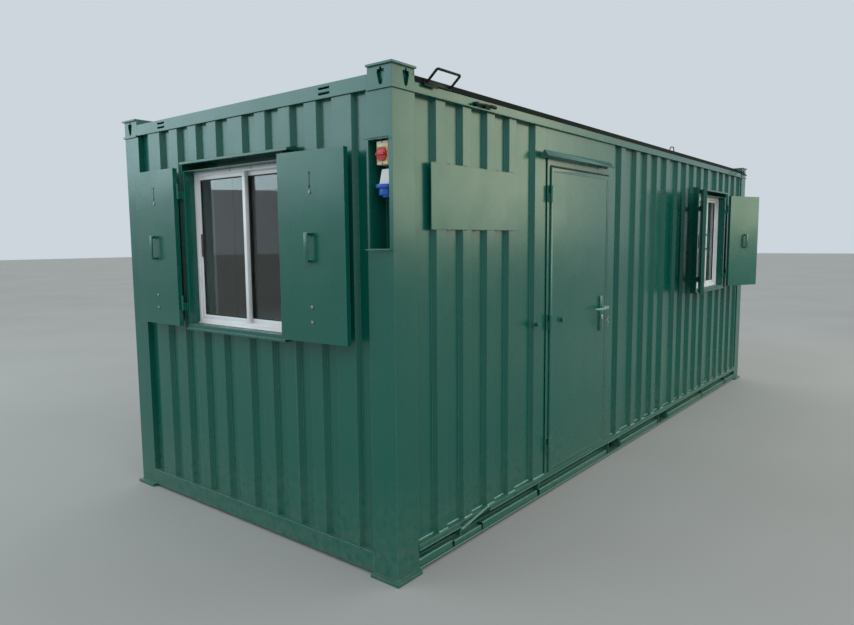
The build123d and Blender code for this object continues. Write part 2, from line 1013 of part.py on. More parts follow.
with BuildPart() as door_leaf:
    block(
        leaf_start,
        leaf_end,
        leaf_face,
        inner_leaf_face,
        door_leaf_bottom,
        door_leaf_bottom + door_leaf_high,
    )
    for face_y, outward in ((leaf_face, -1), (inner_leaf_face, 1)):
        plate = Plane((plate_x, face_y, plate_centre_height), x_dir=(1, 0, 0), z_dir=(0, outward, 0))
        with BuildSketch(plate):
            RectangleRounded(plate_wide, plate_high, plate_wide / 4)
        extrude(amount=plate_thick)
    for face_y, outward in ((leaf_face, -1), (inner_leaf_face, 1)):
        lock = Plane((plate_x, face_y, lock_height), x_dir=(1, 0, 0), z_dir=(0, outward, 0))
        with BuildSketch(lock):
            RegularPolygon(lock_radius, turned_sides)
        extrude(amount=plate_thick + hinge_strap)
    with BuildSketch(Plane((plate_x, plate_face, lever_height), x_dir=(1, 0, 0), z_dir=(0, 1, 0))):
        Circle(lever_neck_radius + pin_clearance)
    extrude(amount=door_leaf_thick + 2 * plate_thick, mode=Mode.SUBTRACT)
    stay_centre = (door_axis_x + stay_from_hinge, leaf_face, stay_height)
    stay_plane = Plane(stay_centre, x_dir=(1, 0, 0), z_dir=(0, -1, 0))
    with BuildSketch(stay_plane):
        RegularPolygon(stay_knob_radius, turned_sides)
    extrude(amount=stay_knob_high)
    for centre in door_hinge_centres:
        block(
            door_axis_x + door_hinge_radius / 2,
            leaf_start + door_frame_left_stile,
            leaf_face - hinge_strap,
            leaf_face,
            centre + knuckle_gap / 2,
            centre + door_hinge_high / 2,
        )
        block(
            leaf_start,
            leaf_start + door_frame_left_stile,
            leaf_face - hinge_strap,
            leaf_face,
            centre - door_hinge_high / 2,
            centre + door_hinge_high / 2,
        )
        knuckle((door_axis_x, door_axis_y), centre, door_hinge_high, door_hinge_radius, False)
save(door_leaf.part, "door_leaf")

with BuildPart() as lever:
    outer_end = plate_face - lever_stand_off
    inner_end = inner_leaf_face + plate_thick + lever_stand_off
    with BuildSketch(Plane((plate_x, outer_end, lever_height), x_dir=(1, 0, 0), z_dir=(0, 1, 0))):
        Circle(lever_neck_radius)
    extrude(amount=inner_end - outer_end)
    for end_y in (outer_end, inner_end):
        grip_plane = Plane((plate_x, end_y, lever_height), x_dir=(1, 0, 0), z_dir=(0, -1, 0))
        with BuildSketch(grip_plane):
            with Locations((lever_neck_radius - lever_long / 2, 0)):
                SlotOverall(lever_long, 2 * lever_neck_radius + lever_grip_extra)
        extrude(amount=lever_grip_thick / 2, both=True)
save(lever.part, "door_lever")

with BuildPart() as catch:
    add(wall_by_door)
    catch_x = 2 * door_axis_x - (door_axis_x + stay_from_hinge)
    wall_plane = Plane((catch_x, front + crest_setback, stay_height), x_dir=(1, 0, 0), z_dir=(0, -1, 0))
    with BuildSketch(wall_plane):
        RegularPolygon(stay_knob_radius + hinge_strap, turned_sides)
    extrude(amount=hinge_strap)
    with BuildSketch(wall_plane):
        RegularPolygon(stay_catch_radius, turned_sides)
    extrude(amount=stay_catch_reach)
save(catch.part, "front_wall_left")

with BuildPart() as hood:
    reach = hood_leg / 2 ** 0.5
    hood_corner = (left + hood_start, front + door_frame_setback, hood_foot_height)
    profile = Plane(hood_corner, x_dir=(0, -1, 0), z_dir=(1, 0, 0))
    with BuildSketch(profile):
        folded_outline([(-reach / 4, -reach / 4), (reach, reach), (2 * reach, 0)], hood_sheet, Side.RIGHT)
        with Locations((-reach / 2, 0)):
            Rectangle(reach, 2 * reach, mode=Mode.SUBTRACT)
    extrude(amount=hood_long)
save(hood.part, "door_hood")

# Windows, made in front of the wall plane at X = 0 and then set in their walls

front_place = Location((left + front_window_centre, front, 0))
end_place = Location((left, 0, 0), (0, 0, -90))
opening_top = window_inner_bottom + window_inner_high

with BuildPart() as window_box:
    half_inner = window_inner_wide / 2
    block(-half_box, half_box, -window_box_proud, inner_face, window_box_bottom, window_box_top)
    block(
        -half_inner,
        half_inner,
        -2 * window_box_proud,
        2 * inner_face,
        window_inner_bottom,
        opening_top,
        Mode.SUBTRACT,
    )
    side_out = half_box - wall_sheet
    side_in = half_inner + wall_sheet
    side_low = window_box_bottom + wall_sheet
    for x0, x1 in ((-side_out, -side_in), (side_in, side_out)):
        y0 = wall_sheet - window_box_proud
        block(x0, x1, y0, inner_face + wall_sheet, side_low, opening_top, Mode.SUBTRACT)
    head_low = opening_top + wall_sheet
    head_high = window_box_top - wall_sheet
    head_back = inner_face - wall_sheet
    block(-side_out, side_out, -2 * window_box_proud, head_back, head_low, head_high, Mode.SUBTRACT)
    hood_wall = window_box_top + window_hood_rise + window_hood_proud / 2
    hood_edge = -window_box_proud - window_hood_proud
    hood_foot = window_box_top - window_hood_sheet
    with BuildSketch(Plane((-half_box, 0, 0), x_dir=(0, 1, 0), z_dir=(1, 0, 0))):
        with BuildLine() as hood_section:
            Polyline(
                (crest_setback, window_box_top),
                (crest_setback, hood_wall),
                (hood_edge, window_box_top + window_hood_rise / 2),
                (hood_edge, hood_foot),
                (hood_edge + window_hood_sheet, hood_foot),
                (hood_edge + window_hood_sheet, window_box_top),
                close=True,
            )
        make_face(hood_section.edges())
    extrude(amount=window_box_wide + window_hood_overrun)
    block(
        -half_box,
        half_box,
        -window_box_proud - window_sill_high,
        crest_setback,
        window_box_bottom - window_sill_high,
        window_box_bottom,
    )
    hinge_middle = shutter_bottom + shutter_high / 2
    for side in (-1, 1):
        for centre in (hinge_middle - shutter_hinge_offset, hinge_middle + shutter_hinge_offset):
            inner_x = side * half_box
            outer_x = side * (half_box + hinge_strap)
            block(
                min(inner_x, outer_x),
                max(inner_x, outer_x),
                -shutter_axis_out,
                -window_box_proud / 3,
                centre - shutter_knuckle_high / 2,
                centre - knuckle_gap / 2,
            )
            knuckle(
                (side * shutter_axis_side, -shutter_axis_out),
                centre,
                shutter_knuckle_high,
                shutter_knuckle_radius,
                True,
            )
save(window_box.part.moved(end_place), "left_window_box")
save(window_box.part.moved(front_place), "front_window_box")

with BuildPart() as sash:
    for x0, x1, z0, z1, near, far, border in (
        (-half_inner, half_inner, window_inner_bottom, opening_top, 0, sash_depth, sash_track),
        (
            sash_track - half_inner,
            sash_bar / 2,
            window_inner_bottom + sash_track,
            opening_top - sash_track,
            sash_step,
            sash_depth / 2,
            sash_bar,
        ),
        (
            -sash_bar / 2,
            half_inner - sash_track,
            window_inner_bottom + sash_track,
            opening_top - sash_track,
            sash_depth / 2,
            sash_depth - sash_step,
            sash_bar,
        ),
    ):
        near_y = sash_setback + near
        far_y = sash_setback + far
        block(x0, x1, near_y, far_y, z0, z1)
        block(x0 + border, x1 - border, near_y, far_y, z0 + border, z1 - border, Mode.SUBTRACT)
save(together(sash.part.moved(end_place), sash.part.moved(front_place)), "window_sashes")

with BuildPart() as glass:
    for x0, x1, middle in (
        (sash_track + sash_bar - half_inner, -sash_bar / 2, (sash_depth / 2 + sash_step) / 2),
        (sash_bar / 2, half_inner - sash_track - sash_bar, sash_depth - (sash_depth / 2 + sash_step) / 2),
    ):
        block(
            x0,
            x1,
            sash_setback + middle - glass_thick / 2,
            sash_setback + middle + glass_thick / 2,
            window_inner_bottom + sash_track + sash_bar,
            opening_top - sash_track - sash_bar,
        )
save(together(glass.part.moved(end_place), glass.part.moved(front_place)), "window_glass")

# Shutters: each leaf turns about its hinge axis, which stands in front of the box's side


def shutter(side, opened):
    """One open shutter in front of the wall plane; side is -1 for the leaf on the window's left."""
    inward = -side
    face_y = inward * shutter_face_from_axis
    with BuildPart() as leaf:
        block(
            shutter_hinge_gap,
            shutter_hinge_gap + shutter_wide,
            min(face_y, face_y - inward * shutter_thick),
            max(face_y, face_y - inward * shutter_thick),
            shutter_bottom,
            shutter_bottom + shutter_high,
        )
        middle = shutter_bottom + shutter_high / 2
        for centre in (middle - shutter_hinge_offset, middle + shutter_hinge_offset):
            block(
                shutter_knuckle_radius / 2 + knuckle_gap,
                shutter_hinge_gap,
                -hinge_strap / 2,
                hinge_strap / 2,
                centre + knuckle_gap / 2,
                centre + shutter_knuckle_high / 2,
            )
            knuckle((0, 0), centre, shutter_knuckle_high, shutter_knuckle_radius, False)
        pull_x = shutter_hinge_gap + shutter_wide / 2
        top_y = inward * (shutter_face_from_axis + pull_stand_off)
        low = middle - pull_high / 2
        high = middle + pull_high / 2
        bow = [(pull_x, face_y, low), (pull_x, top_y, low), (pull_x, top_y, high), (pull_x, face_y, high)]
        add(bent_rod(bow, 2 * pull_rod_radius, pull_rod_radius))
    angle = 180 + opened if side > 0 else -opened
    return leaf.part.moved(Location((side * shutter_axis_side, -shutter_axis_out, 0), (0, 0, angle)))


save(shutter(-1, end_far_shutter_open).moved(end_place), "left_window_shutter_back")
save(shutter(1, end_near_shutter_open).moved(end_place), "left_window_shutter_front")
save(shutter(-1, front_near_shutter_open).moved(front_place), "front_window_shutter_left")
save(shutter(1, front_far_shutter_open).moved(front_place), "front_window_shutter_right")

# Service recess with its isolator switch and power inlet

recess_start = front + recess_from_corner
recess_end = recess_start + recess_wide
recess_back = left + recess_depth

with BuildPart() as pan:
    block(
        left + post_sheet,
        recess_back + recess_sheet,
        recess_start - recess_sheet,
        recess_end + recess_sheet,
        recess_bottom - recess_sheet,
        recess_top + recess_sheet,
    )
    block(
        left,
        recess_back,
        recess_start,
        recess_end,
        recess_bottom,
        recess_top,
        Mode.SUBTRACT,
    )
save(pan.part, "recess_pan")

isolator_y = front + isolator_from_corner
isolator_face = Plane(
    (left + isolator_setback, isolator_y, isolator_centre_height),
    x_dir=(0, -1, 0),
    z_dir=(-1, 0, 0),
)
spindle_radius = knob_grip_thick / 2

with BuildPart() as isolator:
    with BuildSketch(isolator_face):
        RectangleRounded(isolator_wide, isolator_high, knob_grip_thick / 3)
    extrude(amount=-(recess_depth - isolator_setback))
    with BuildSketch(isolator_face):
        Circle(spindle_radius + pin_clearance)
    extrude(amount=-knob_high, mode=Mode.SUBTRACT)
save(isolator.part, "isolator_box")

with BuildPart() as knob:
    with BuildSketch(isolator_face.offset(pin_clearance)):
        RegularPolygon(knob_radius, turned_sides)
    extrude(amount=knob_high - knob_grip_high)
    with BuildSketch(isolator_face.offset(pin_clearance)):
        Rectangle(2 * knob_radius - knob_grip_thick / 2, knob_grip_thick)
    extrude(amount=knob_high)
    with BuildSketch(isolator_face.offset(pin_clearance)):
        Circle(spindle_radius)
    extrude(amount=knob_grip_high - knob_high)
save(knob.part, "isolator_knob")

inlet_x = left + inlet_setback
inlet_y = front + inlet_from_corner
collar_top = inlet_top - inlet_housing_high
collar_bottom = collar_top - collar_high
shroud_bottom = collar_bottom - shroud_high
lid_pivot = (inlet_x + shroud_radius + 2 * lid_pivot_radius, shroud_bottom - lid_thick / 2)
lid_half_neck = shroud_radius / 3
lid_pin_radius = lid_pivot_radius / 2
lid_lug_radius = 1.5 * lid_pivot_radius

with BuildPart() as housing:
    back_gap = recess_depth - inlet_setback
    side_view = Plane((recess_back, inlet_y, collar_top), x_dir=(-1, 0, 0), z_dir=(0, 1, 0))
    with BuildSketch(side_view):
        Polygon(
            (0, 0),
            (back_gap + shroud_radius, 0),
            (back_gap + inlet_housing_top_reach, inlet_housing_high),
            (0, inlet_housing_high),
            align=None,
        )
    extrude(amount=inlet_housing_bottom / 2, both=True)
    front_view = Plane((recess_back, inlet_y, collar_top), x_dir=(0, 1, 0), z_dir=(1, 0, 0))
    with BuildSketch(front_view):
        Polygon(
            (-inlet_housing_bottom / 2, 0),
            (inlet_housing_bottom / 2, 0),
            (inlet_housing_top / 2, inlet_housing_high),
            (-inlet_housing_top / 2, inlet_housing_high),
            align=None,
        )
    extrude(amount=recess_depth, both=True, mode=Mode.INTERSECT)
save(housing.part, "inlet_housing")

with BuildPart() as collar:
    with BuildSketch(Plane((inlet_x, inlet_y, collar_bottom))):
        RegularPolygon(collar_radius, turned_sides)
    extrude(amount=collar_high)
    with BuildSketch(Plane((inlet_x, inlet_y, shroud_bottom))):
        RegularPolygon(shroud_radius, turned_sides)
        RegularPolygon(shroud_radius - shroud_wall, turned_sides, mode=Mode.SUBTRACT)
    extrude(amount=shroud_high)
    for side in (-1, 1):
        lug_y = inlet_y + side * (lid_half_neck + knuckle_gap + lid_pivot_radius / 2)
        with BuildSketch(Plane((lid_pivot[0], lug_y, lid_pivot[1]), x_dir=(1, 0, 0), z_dir=(0, -1, 0))):
            RegularPolygon(lid_lug_radius, knuckle_sides)
            with Locations((0, shroud_high / 4)):
                Rectangle(2 * lid_lug_radius, shroud_high / 2)
            with Locations((-2 * lid_pivot_radius, shroud_high / 3)):
                Rectangle(2 * lid_pivot_radius, shroud_high / 3)
        extrude(amount=lid_pivot_radius / 2, both=True)
    pin_plane = Plane((lid_pivot[0], inlet_y, lid_pivot[1]), x_dir=(1, 0, 0), z_dir=(0, -1, 0))
    with BuildSketch(pin_plane):
        Circle(lid_pin_radius)
    extrude(amount=lid_half_neck + 2 * knuckle_gap, both=True)
save(collar.part, "inlet_collar")

with BuildPart() as lid:
    lid_top = shroud_bottom - pin_clearance
    with BuildSketch(Plane((inlet_x, inlet_y, lid_top))):
        RegularPolygon(shroud_radius + shroud_wall, turned_sides)
        with Locations((shroud_radius + shroud_wall, 0)):
            Rectangle(5 * lid_pivot_radius, 2 * shroud_radius, mode=Mode.SUBTRACT)
        with Locations((shroud_radius - shroud_wall, 0)):
            Rectangle(5 * lid_pivot_radius, 2 * lid_half_neck)
    extrude(amount=-lid_thick)
    with BuildSketch(pin_plane):
        RegularPolygon(lid_lug_radius, knuckle_sides)
    extrude(amount=lid_half_neck, both=True)
    with BuildSketch(pin_plane):
        Circle(lid_pin_radius + pin_clearance)
    extrude(amount=collar_radius, both=True, mode=Mode.SUBTRACT)
save(lid.part, "inlet_lid")

# Bare board: a shallow folded tray on the front

board_x = left + board_start
board_y = front + crest_setback

with BuildPart() as board:
    board_end = board_x + board_wide
    board_top = board_bottom + board_high
    block(board_x, board_end, board_y - board_depth, board_y, board_bottom, board_top)
    block(
        board_x + board_sheet,
        board_end - board_sheet,
        board_y - board_depth + board_sheet,
        board_y,
        board_bottom + board_sheet,
        board_top - board_sheet,
        Mode.SUBTRACT,
    )
save(board.part, "front_board")

# Hoops bent from rod on the roof's long edges


def hoop(start, lean):
    """One hoop on the front edge: its base plate, and its rod bent out to the given lean."""
    middle = roof_top - roof_edge_high / 2
    elbow = front - hoop_bend_radius
    out = elbow - hoop_leg * sin(radians(lean))
    up = middle + hoop_leg * cos(radians(lean))
    with BuildPart() as piece:
        block(
            start - hoop_base_wide / 2,
            start + hoop_base_long - hoop_base_wide / 2,
            front - hoop_base_thick,
            front,
            roof_top - roof_edge_high + hoop_base_margin,
            roof_top - hoop_base_margin,
        )
        base_y = front - hoop_base_thick / 2
        end = start + hoop_wide
        bend = [(start, base_y, middle), (start, elbow, middle), (start, out, up)]
        bend += [(end, out, up), (end, elbow, middle), (end, base_y, middle)]
        add(bent_rod(bend, hoop_rod_bend, hoop_rod_radius))
    return piece.part


near_hoop = hoop(left + hoop_from_corner, hoop_lean)
far_hoop = hoop(right - hoop_from_corner - hoop_wide, 180 - hoop_lean)
back_hoop = mirrored(near_hoop, Plane.XZ)
save(together(near_hoop, far_hoop, back_hoop, mirrored(back_hoop, Plane.YZ)), "roof_hoops")
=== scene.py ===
"""Finishes and fittings of a portable steel site cabin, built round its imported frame.

Metres, +Z up, the same frame as the CAD. The door side faces -Y and the left end faces -X.
"""

import json
import math

import bmesh
import bpy
from bpy.props import FloatProperty, FloatVectorProperty, IntProperty, PointerProperty
from mathutils import Matrix, Vector


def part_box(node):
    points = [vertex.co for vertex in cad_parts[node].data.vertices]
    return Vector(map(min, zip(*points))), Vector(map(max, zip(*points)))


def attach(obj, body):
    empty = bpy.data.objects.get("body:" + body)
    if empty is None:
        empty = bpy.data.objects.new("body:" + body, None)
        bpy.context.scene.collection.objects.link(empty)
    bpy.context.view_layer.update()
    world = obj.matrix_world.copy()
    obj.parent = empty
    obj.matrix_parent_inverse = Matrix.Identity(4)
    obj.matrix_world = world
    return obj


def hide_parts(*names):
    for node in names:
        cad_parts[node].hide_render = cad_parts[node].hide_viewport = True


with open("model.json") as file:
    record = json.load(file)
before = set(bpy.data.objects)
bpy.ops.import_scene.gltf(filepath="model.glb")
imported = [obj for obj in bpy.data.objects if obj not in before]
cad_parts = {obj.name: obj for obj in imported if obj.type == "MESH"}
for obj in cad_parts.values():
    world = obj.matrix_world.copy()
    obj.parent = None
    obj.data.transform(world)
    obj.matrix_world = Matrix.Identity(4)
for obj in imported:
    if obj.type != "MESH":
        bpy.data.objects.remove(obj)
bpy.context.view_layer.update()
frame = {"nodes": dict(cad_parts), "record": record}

bl_info = {
    "name": "Portable Steel Site Cabin",
    "version": (1, 0, 0),
    "blender": (4, 5, 0),
    "location": "3D View > Sidebar > Cabin",
    "description": "Finishes and fittings of a portable steel site cabin round its packed frame",
    "category": "Object",
}


# Places that come from the frame

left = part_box("post_front_left")[0].x + 0.022
right = -left
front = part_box("post_front_left")[0].y + 0.022
back = -front
end_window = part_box("left_window_box")
front_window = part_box("front_window_box")
end_place = Matrix.Translation((left, 0, 0)) @ Matrix.Rotation(-math.pi / 2, 4, "Z")
front_place = Matrix.Translation(((front_window[0].x + front_window[1].x) / 2, front, 0))
leaf_low, leaf_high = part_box("door_leaf")

# Node sockets that share a name are taken by their place

MIX_FACTOR, MIX_FIRST, MIX_SECOND, MIX_RESULT = 0, 6, 7, 2

# Ways that a face can face

FRONTWARD, LEFTWARD, UPWARD, DOWNWARD = (0, -1, 0), (-1, 0, 0), (0, 0, 1), (0, 0, -1)


def linear(code):
    """An sRGB hex colour as linear red, green, blue and alpha."""
    channels = [int(code[place : place + 2], 16) / 255 for place in (1, 3, 5)]
    return [c / 12.92 if c <= 0.04045 else ((c + 0.055) / 1.055) ** 2.4 for c in channels] + [1.0]


def per(size_mm):
    """The texture scale at which one feature measures the given millimetres."""
    return 1000.0 / size_mm


# Settings that a user would change


def colour_setting(label, told, code):
    """A colour that a user would change, whose default is an sRGB hex colour."""
    return FloatVectorProperty(
        name=label, description=told, default=linear(code), subtype="COLOR", size=4, min=0, max=1
    )


def length_setting(label, told, default, least, most):
    """A length in metres that a user would change."""
    return FloatProperty(name=label, description=told, default=default, min=least, max=most, unit="LENGTH")


class CabinFinish(bpy.types.PropertyGroup):
    """Colours of the cabin's finishes."""

    enamel: colour_setting("Enamel", "Green of the gloss enamel on the steel", "#04574a")
    enamel_faded: colour_setting("Faded enamel", "Green where the enamel is thin or has chalked", "#0c6050")
    dust: colour_setting("Dust", "Dried road dust low on the walls and on ledges", "#8b8675")
    rust: colour_setting("Rust", "Rust where chips have opened the enamel", "#5d3420")


class CabinSizes(bpy.types.PropertyGroup):
    """Sizes of the fittings that stand on the frame."""

    hoop_rod: length_setting("Hoop rod", "Radius of the rod of the roof hoops", 0.0065, 0.003, 0.01)
    screw_head: length_setting("Screw head", "Radius of the screw heads on the shutters", 0.009, 0.004, 0.014)
    weld_bead: length_setting("Weld bead", "Radius of the weld beads", 0.0035, 0.001, 0.006)
    gasket_wide: length_setting("Gasket width", "Width of the glazing gaskets that show", 0.006, 0.002, 0.012)
    rod_sides: IntProperty(name="Rod sides", description="Faces round each rod", default=20, min=8, max=48)


# Materials


def set_inputs(tree, node, inputs):
    """Sets each given socket, by its name or place, to a value or links it to another socket."""
    for socket, value in inputs.items():
        if isinstance(value, bpy.types.NodeSocket):
            tree.links.new(value, node.inputs[socket])
        else:
            node.inputs[socket].default_value = value


def add_node(tree, kind, inputs=None, **settings):
    """Adds a node with its settings and its inputs."""
    node = tree.nodes.new(kind)
    for name, value in settings.items():
        setattr(node, name, value)
    set_inputs(tree, node, inputs or {})
    return node


def new_material(name):
    """An empty material, its tree, its surface shader, which the caller sets, and the place on the object."""
    material = bpy.data.materials.new(name)
    material.use_nodes = True
    tree = material.node_tree
    tree.nodes.clear()
    shader = add_node(tree, "ShaderNodeBsdfPrincipled")
    add_node(tree, "ShaderNodeOutputMaterial", {"Surface": shader.outputs["BSDF"]})
    return material, tree, shader, add_node(tree, "ShaderNodeTexCoord").outputs["Object"]


def ranged(tree, value, near, far, low=0.0, high=1.0):
    """A value spread so that near comes out as low and far as high."""
    inputs = {"Value": value, "From Min": near, "From Max": far, "To Min": low, "To Max": high}
    return add_node(tree, "ShaderNodeMapRange", inputs).outputs["Result"]


def noise(tree, place, size_mm, low=0.0, high=1.0, detail=3.0, near=0.3, far=0.7):
    """A noise whose features measure the given millimetres, spread from low to high."""
    cloud = add_node(tree, "ShaderNodeTexNoise", {"Vector": place, "Scale": per(size_mm), "Detail": detail})
    return ranged(tree, cloud.outputs["Fac"], near, far, low, high)


def mixed(tree, factor, first, second):
    """The colour between two colours."""
    inputs = {MIX_FACTOR: factor, MIX_FIRST: first, MIX_SECOND: second}
    return add_node(tree, "ShaderNodeMix", inputs, data_type="RGBA").outputs[MIX_RESULT]


def combined(tree, operation, first, second=0.0):
    """The result of one sum on two values, kept from 0 to 1."""
    node = add_node(tree, "ShaderNodeMath", {0: first, 1: second}, operation=operation, use_clamp=True)
    return node.outputs["Value"]


def bumped(tree, height, distance, **inputs):
    """The normal that a height of the given distance bends; further inputs go by their names."""
    node = add_node(tree, "ShaderNodeBump", {"Height": height, "Distance": distance, **inputs})
    return node.outputs["Normal"]


def stretched(tree, place, scale):
    """The place on the object, scaled along each axis."""
    return add_node(tree, "ShaderNodeMapping", {"Vector": place, "Scale": scale}).outputs["Vector"]


def axis_of(tree, vector, axis):
    """What a vector measures along one axis."""
    return add_node(tree, "ShaderNodeSeparateXYZ", {"Vector": vector}).outputs[axis]


def green_enamel(name, colour, faded, dusty=1.0, roughness=0.25):
    """Gloss enamel rolled on steel sheet: deep green under a clear skin, with soft dents."""
    finish = bpy.context.scene.cabin_finish
    material, tree, shader, place = new_material(name)
    flat = add_node(tree, "ShaderNodeNewGeometry").outputs["True Normal"]

    # Coats of enamel differ a little from sheet to sheet, and chalk in soft clouds and runs
    clouds = noise(tree, place, 900)
    runs = noise(tree, stretched(tree, place, (1, 1, 0.06)), 60, detail=4)
    chalk = combined(tree, "MULTIPLY", clouds, runs)
    colour = mixed(tree, combined(tree, "MULTIPLY", chalk, 0.6), colour, faded)

    # Edges, found by how far a rounded normal leaves the flat one, are painted pale: a painted highlight for
    # the sky caught on rounded edges, partly thin rubbed paint; chips there open to rust
    soft = add_node(tree, "ShaderNodeBevel", {"Radius": 0.0035}, samples=4).outputs["Normal"]
    turn = add_node(tree, "ShaderNodeVectorMath", {0: soft, 1: flat}, operation="DOT_PRODUCT")
    edge = ranged(tree, turn.outputs["Value"], 0.98, 0.85)
    # Painted highlight: edges mixed 0.6 of the way towards pale green
    colour = mixed(tree, combined(tree, "MULTIPLY", edge, 0.6), colour, linear("#6fa695"))
    chips = noise(tree, place, 35, near=0.66, far=0.69, detail=5)
    chipped = combined(tree, "MULTIPLY", edge, chips)
    # Rust grows towards the ground: 0.8 of the height's share on top of the sum's own third value of 0.5
    low_down = ranged(tree, axis_of(tree, place, "Z"), 0.55, 0.0)
    rusted = combined(tree, "MULTIPLY", chipped, combined(tree, "MULTIPLY_ADD", low_down, 0.8))
    colour = mixed(tree, rusted, colour, list(finish.rust))

    # Splashed dust thins out above the rails, and settles on what faces up
    splash = combined(tree, "MULTIPLY", low_down, noise(tree, place, 45, 0, 0.2, detail=6))
    settled = ranged(tree, axis_of(tree, flat, "Z"), 0.6, 1.0, high=0.22)
    ledges = combined(tree, "MULTIPLY", settled, noise(tree, place, 140, 0.2, 1.0, detail=5))
    dust = combined(tree, "MULTIPLY", combined(tree, "MAXIMUM", splash, ledges), dusty)
    colour = mixed(tree, dust, colour, list(finish.dust))

    # The roller leaves a stipple of some 9 mm, sheets drum in dents of 400 mm, and both bend reflections
    dents = noise(tree, place, 420, detail=2, near=0, far=1)
    stipple = noise(tree, place, 9, detail=2, near=0, far=1)
    dented = bumped(tree, dents, 0.007, Strength=0.5, Normal=soft)
    sheen = noise(tree, place, 260, roughness - 0.08, roughness + 0.12, near=0, far=1)
    looks = {
        "Base Color": colour,
        "Roughness": combined(tree, "ADD", sheen, dust),
        "Normal": bumped(tree, stipple, 0.0002, Strength=0.3, Normal=dented),
        "IOR": 1.5,
        "Coat Weight": 0.12,
        "Coat Roughness": 0.15,
    }
    set_inputs(tree, shader, looks)
    return material


def plain_finish(name, colour, second, size_mm, roughness, bump_mm, metallic=0.0, gloss=0.5):
    """A finish of two close tones in clouds of the given size, with a bump of the same size."""
    material, tree, shader, place = new_material(name)
    clouds = noise(tree, place, size_mm, detail=5)
    looks = {
        "Base Color": mixed(tree, clouds, linear(colour), linear(second)),
        "Roughness": noise(tree, place, 2 * size_mm, roughness - 0.05, roughness + 0.05),
        "Metallic": metallic,
        "Specular IOR Level": gloss,
        "Normal": bumped(tree, clouds, bump_mm / 1000, Strength=0.7),
    }
    set_inputs(tree, shader, looks)
    return material


def lining_board():
    """Vinyl-faced lining board: warm white, faintly stippled, with a joint every 1200 mm."""
    material, tree, shader, place = new_material("VinylFacedBoard")
    joints = []
    for axis in ("X", "Y"):
        inputs = {0: axis_of(tree, place, axis), 1: 1.2}
        across = add_node(tree, "ShaderNodeMath", inputs, operation="PINGPONG").outputs["Value"]
        joints.append(combined(tree, "LESS_THAN", across, 0.003))
    joint = combined(tree, "MULTIPLY", combined(tree, "MAXIMUM", *joints), 0.6)
    colour = mixed(tree, noise(tree, place, 700), linear("#d9d6cc"), linear("#cfccc2"))
    colour = mixed(tree, joint, colour, linear("#77746c"))
    grain = bumped(tree, noise(tree, place, 4), 0.0002)
    set_inputs(tree, shader, {"Base Color": colour, "Roughness": 0.55, "Normal": grain})
    return material


def floor_board():
    """Phenolic-faced plywood: brown, with a long grain and scuffs."""
    material, tree, shader, place = new_material("PhenolicPlywood")
    grain = noise(tree, stretched(tree, place, (1, 8, 1)), 120, detail=8)
    colour = mixed(tree, grain, linear("#4b3a2c"), linear("#5f4a38"))
    colour = mixed(tree, noise(tree, place, 350, 0, 0.5, detail=6), colour, linear("#7b746a"))
    looks = {"Base Color": colour, "Roughness": 0.6, "Normal": bumped(tree, grain, 0.0004)}
    set_inputs(tree, shader, looks)
    return material


def window_glass():
    """Float glass: clear, with a green cast and a thin film of dust that dulls it in patches."""
    material, tree, shader, place = new_material("FloatGlass")
    dulled = noise(tree, place, 180, 0.0, 0.04, detail=4)
    looks = {"Base Color": linear("#dfe9e4"), "Roughness": dulled, "IOR": 1.52, "Transmission Weight": 1.0}
    set_inputs(tree, shader, looks)
    return material


def bare_floor():
    """Plain pale studio floor."""
    material, tree, shader, place = new_material("PaleFloor")
    colour = mixed(tree, noise(tree, place, 2500), linear("#9c9d9b"), linear("#a2a3a1"))
    set_inputs(tree, shader, {"Base Color": colour, "Roughness": 0.85, "Specular IOR Level": 0.2})
    return material


# Finishes of two close tones, each with both tones, the size of its clouds in millimetres, its roughness,
# its bump in millimetres and, where they differ from paint, how metallic and how glossy it is

PLAIN_FINISHES = {
    # Enamel painted pale as a highlight where sky light catches ledges, edges and beads, partly also thin
    # rubbed paint
    "pale_enamel": ("PaleEnamelOnEdges", "#5f9484", "#79aa9a", 25, 0.3, 0.05),
    # Near-black rod enamel, matt; its darkness partly paints the shade on the backlit hoops
    "hoop_steel": ("DullEnamelOnRod", "#07130f", "#0d1d19", 60, 0.5, 0.1, 0.0, 0.25),
    # Bitumen-based roof coating: dark, matt and pebbled
    "roof_coating": ("RoofCoating", "#101513", "#191f1c", 240, 0.85, 1.2, 0.0, 0.2),
    # Zinc-rich primer on rolled joists: flat grey with dirt
    "joist_steel": ("PrimedJoistSteel", "#3c3f40", "#4a4a47", 90, 0.6, 0.4),
    # Powder coat on extruded aluminium: clean cold white, satin
    "white_frame": ("PowderCoatedAluminium", "#e4e6e8", "#d8dadb", 160, 0.32, 0.05),
    # Moulded ABS: cream, satin, slightly yellowed
    "isolator_plate": ("CreamAbs", "#ddd6c4", "#d3cab4", 40, 0.4, 0.05),
    "red_switch": ("RedAbs", "#c3202b", "#b01a26", 30, 0.35, 0.03),
    "white_housing": ("WhitePolyamide", "#dfe0e2", "#d2d3d6", 40, 0.42, 0.05),
    "blue_plastic": ("BluePolyamide", "#1f5fc4", "#1a54b0", 40, 0.3, 0.05),
    # Plate behind the switch
    "yellow_plate": ("YellowAbs", "#e6c069", "#dfb75d", 30, 0.4, 0.03),
    # Moulded nylon of the window catches
    "grey_nylon": ("GreyNylon", "#55595b", "#484c4e", 20, 0.45, 0.03),
    # Extruded EPDM: black, matt, with a faint bloom; the same black also paints shade on the bolt slots and
    # in the door's gap
    "black_rubber": ("BlackEpdmRubber", "#17191a", "#23272a", 25, 0.6, 0.05),
    # Zinc-plated steel: pale, dulled by handling
    "zinc_steel": ("ZincPlatedSteel", "#a9aaa6", "#8d8f8c", 12, 0.38, 0.02, 1.0),
    # Nickel-plated brass of the keys
    "key_metal": ("NickelPlatedBrass", "#cdd8d6", "#b7c2c0", 8, 0.3, 0.02, 1.0),
}

materials = {}


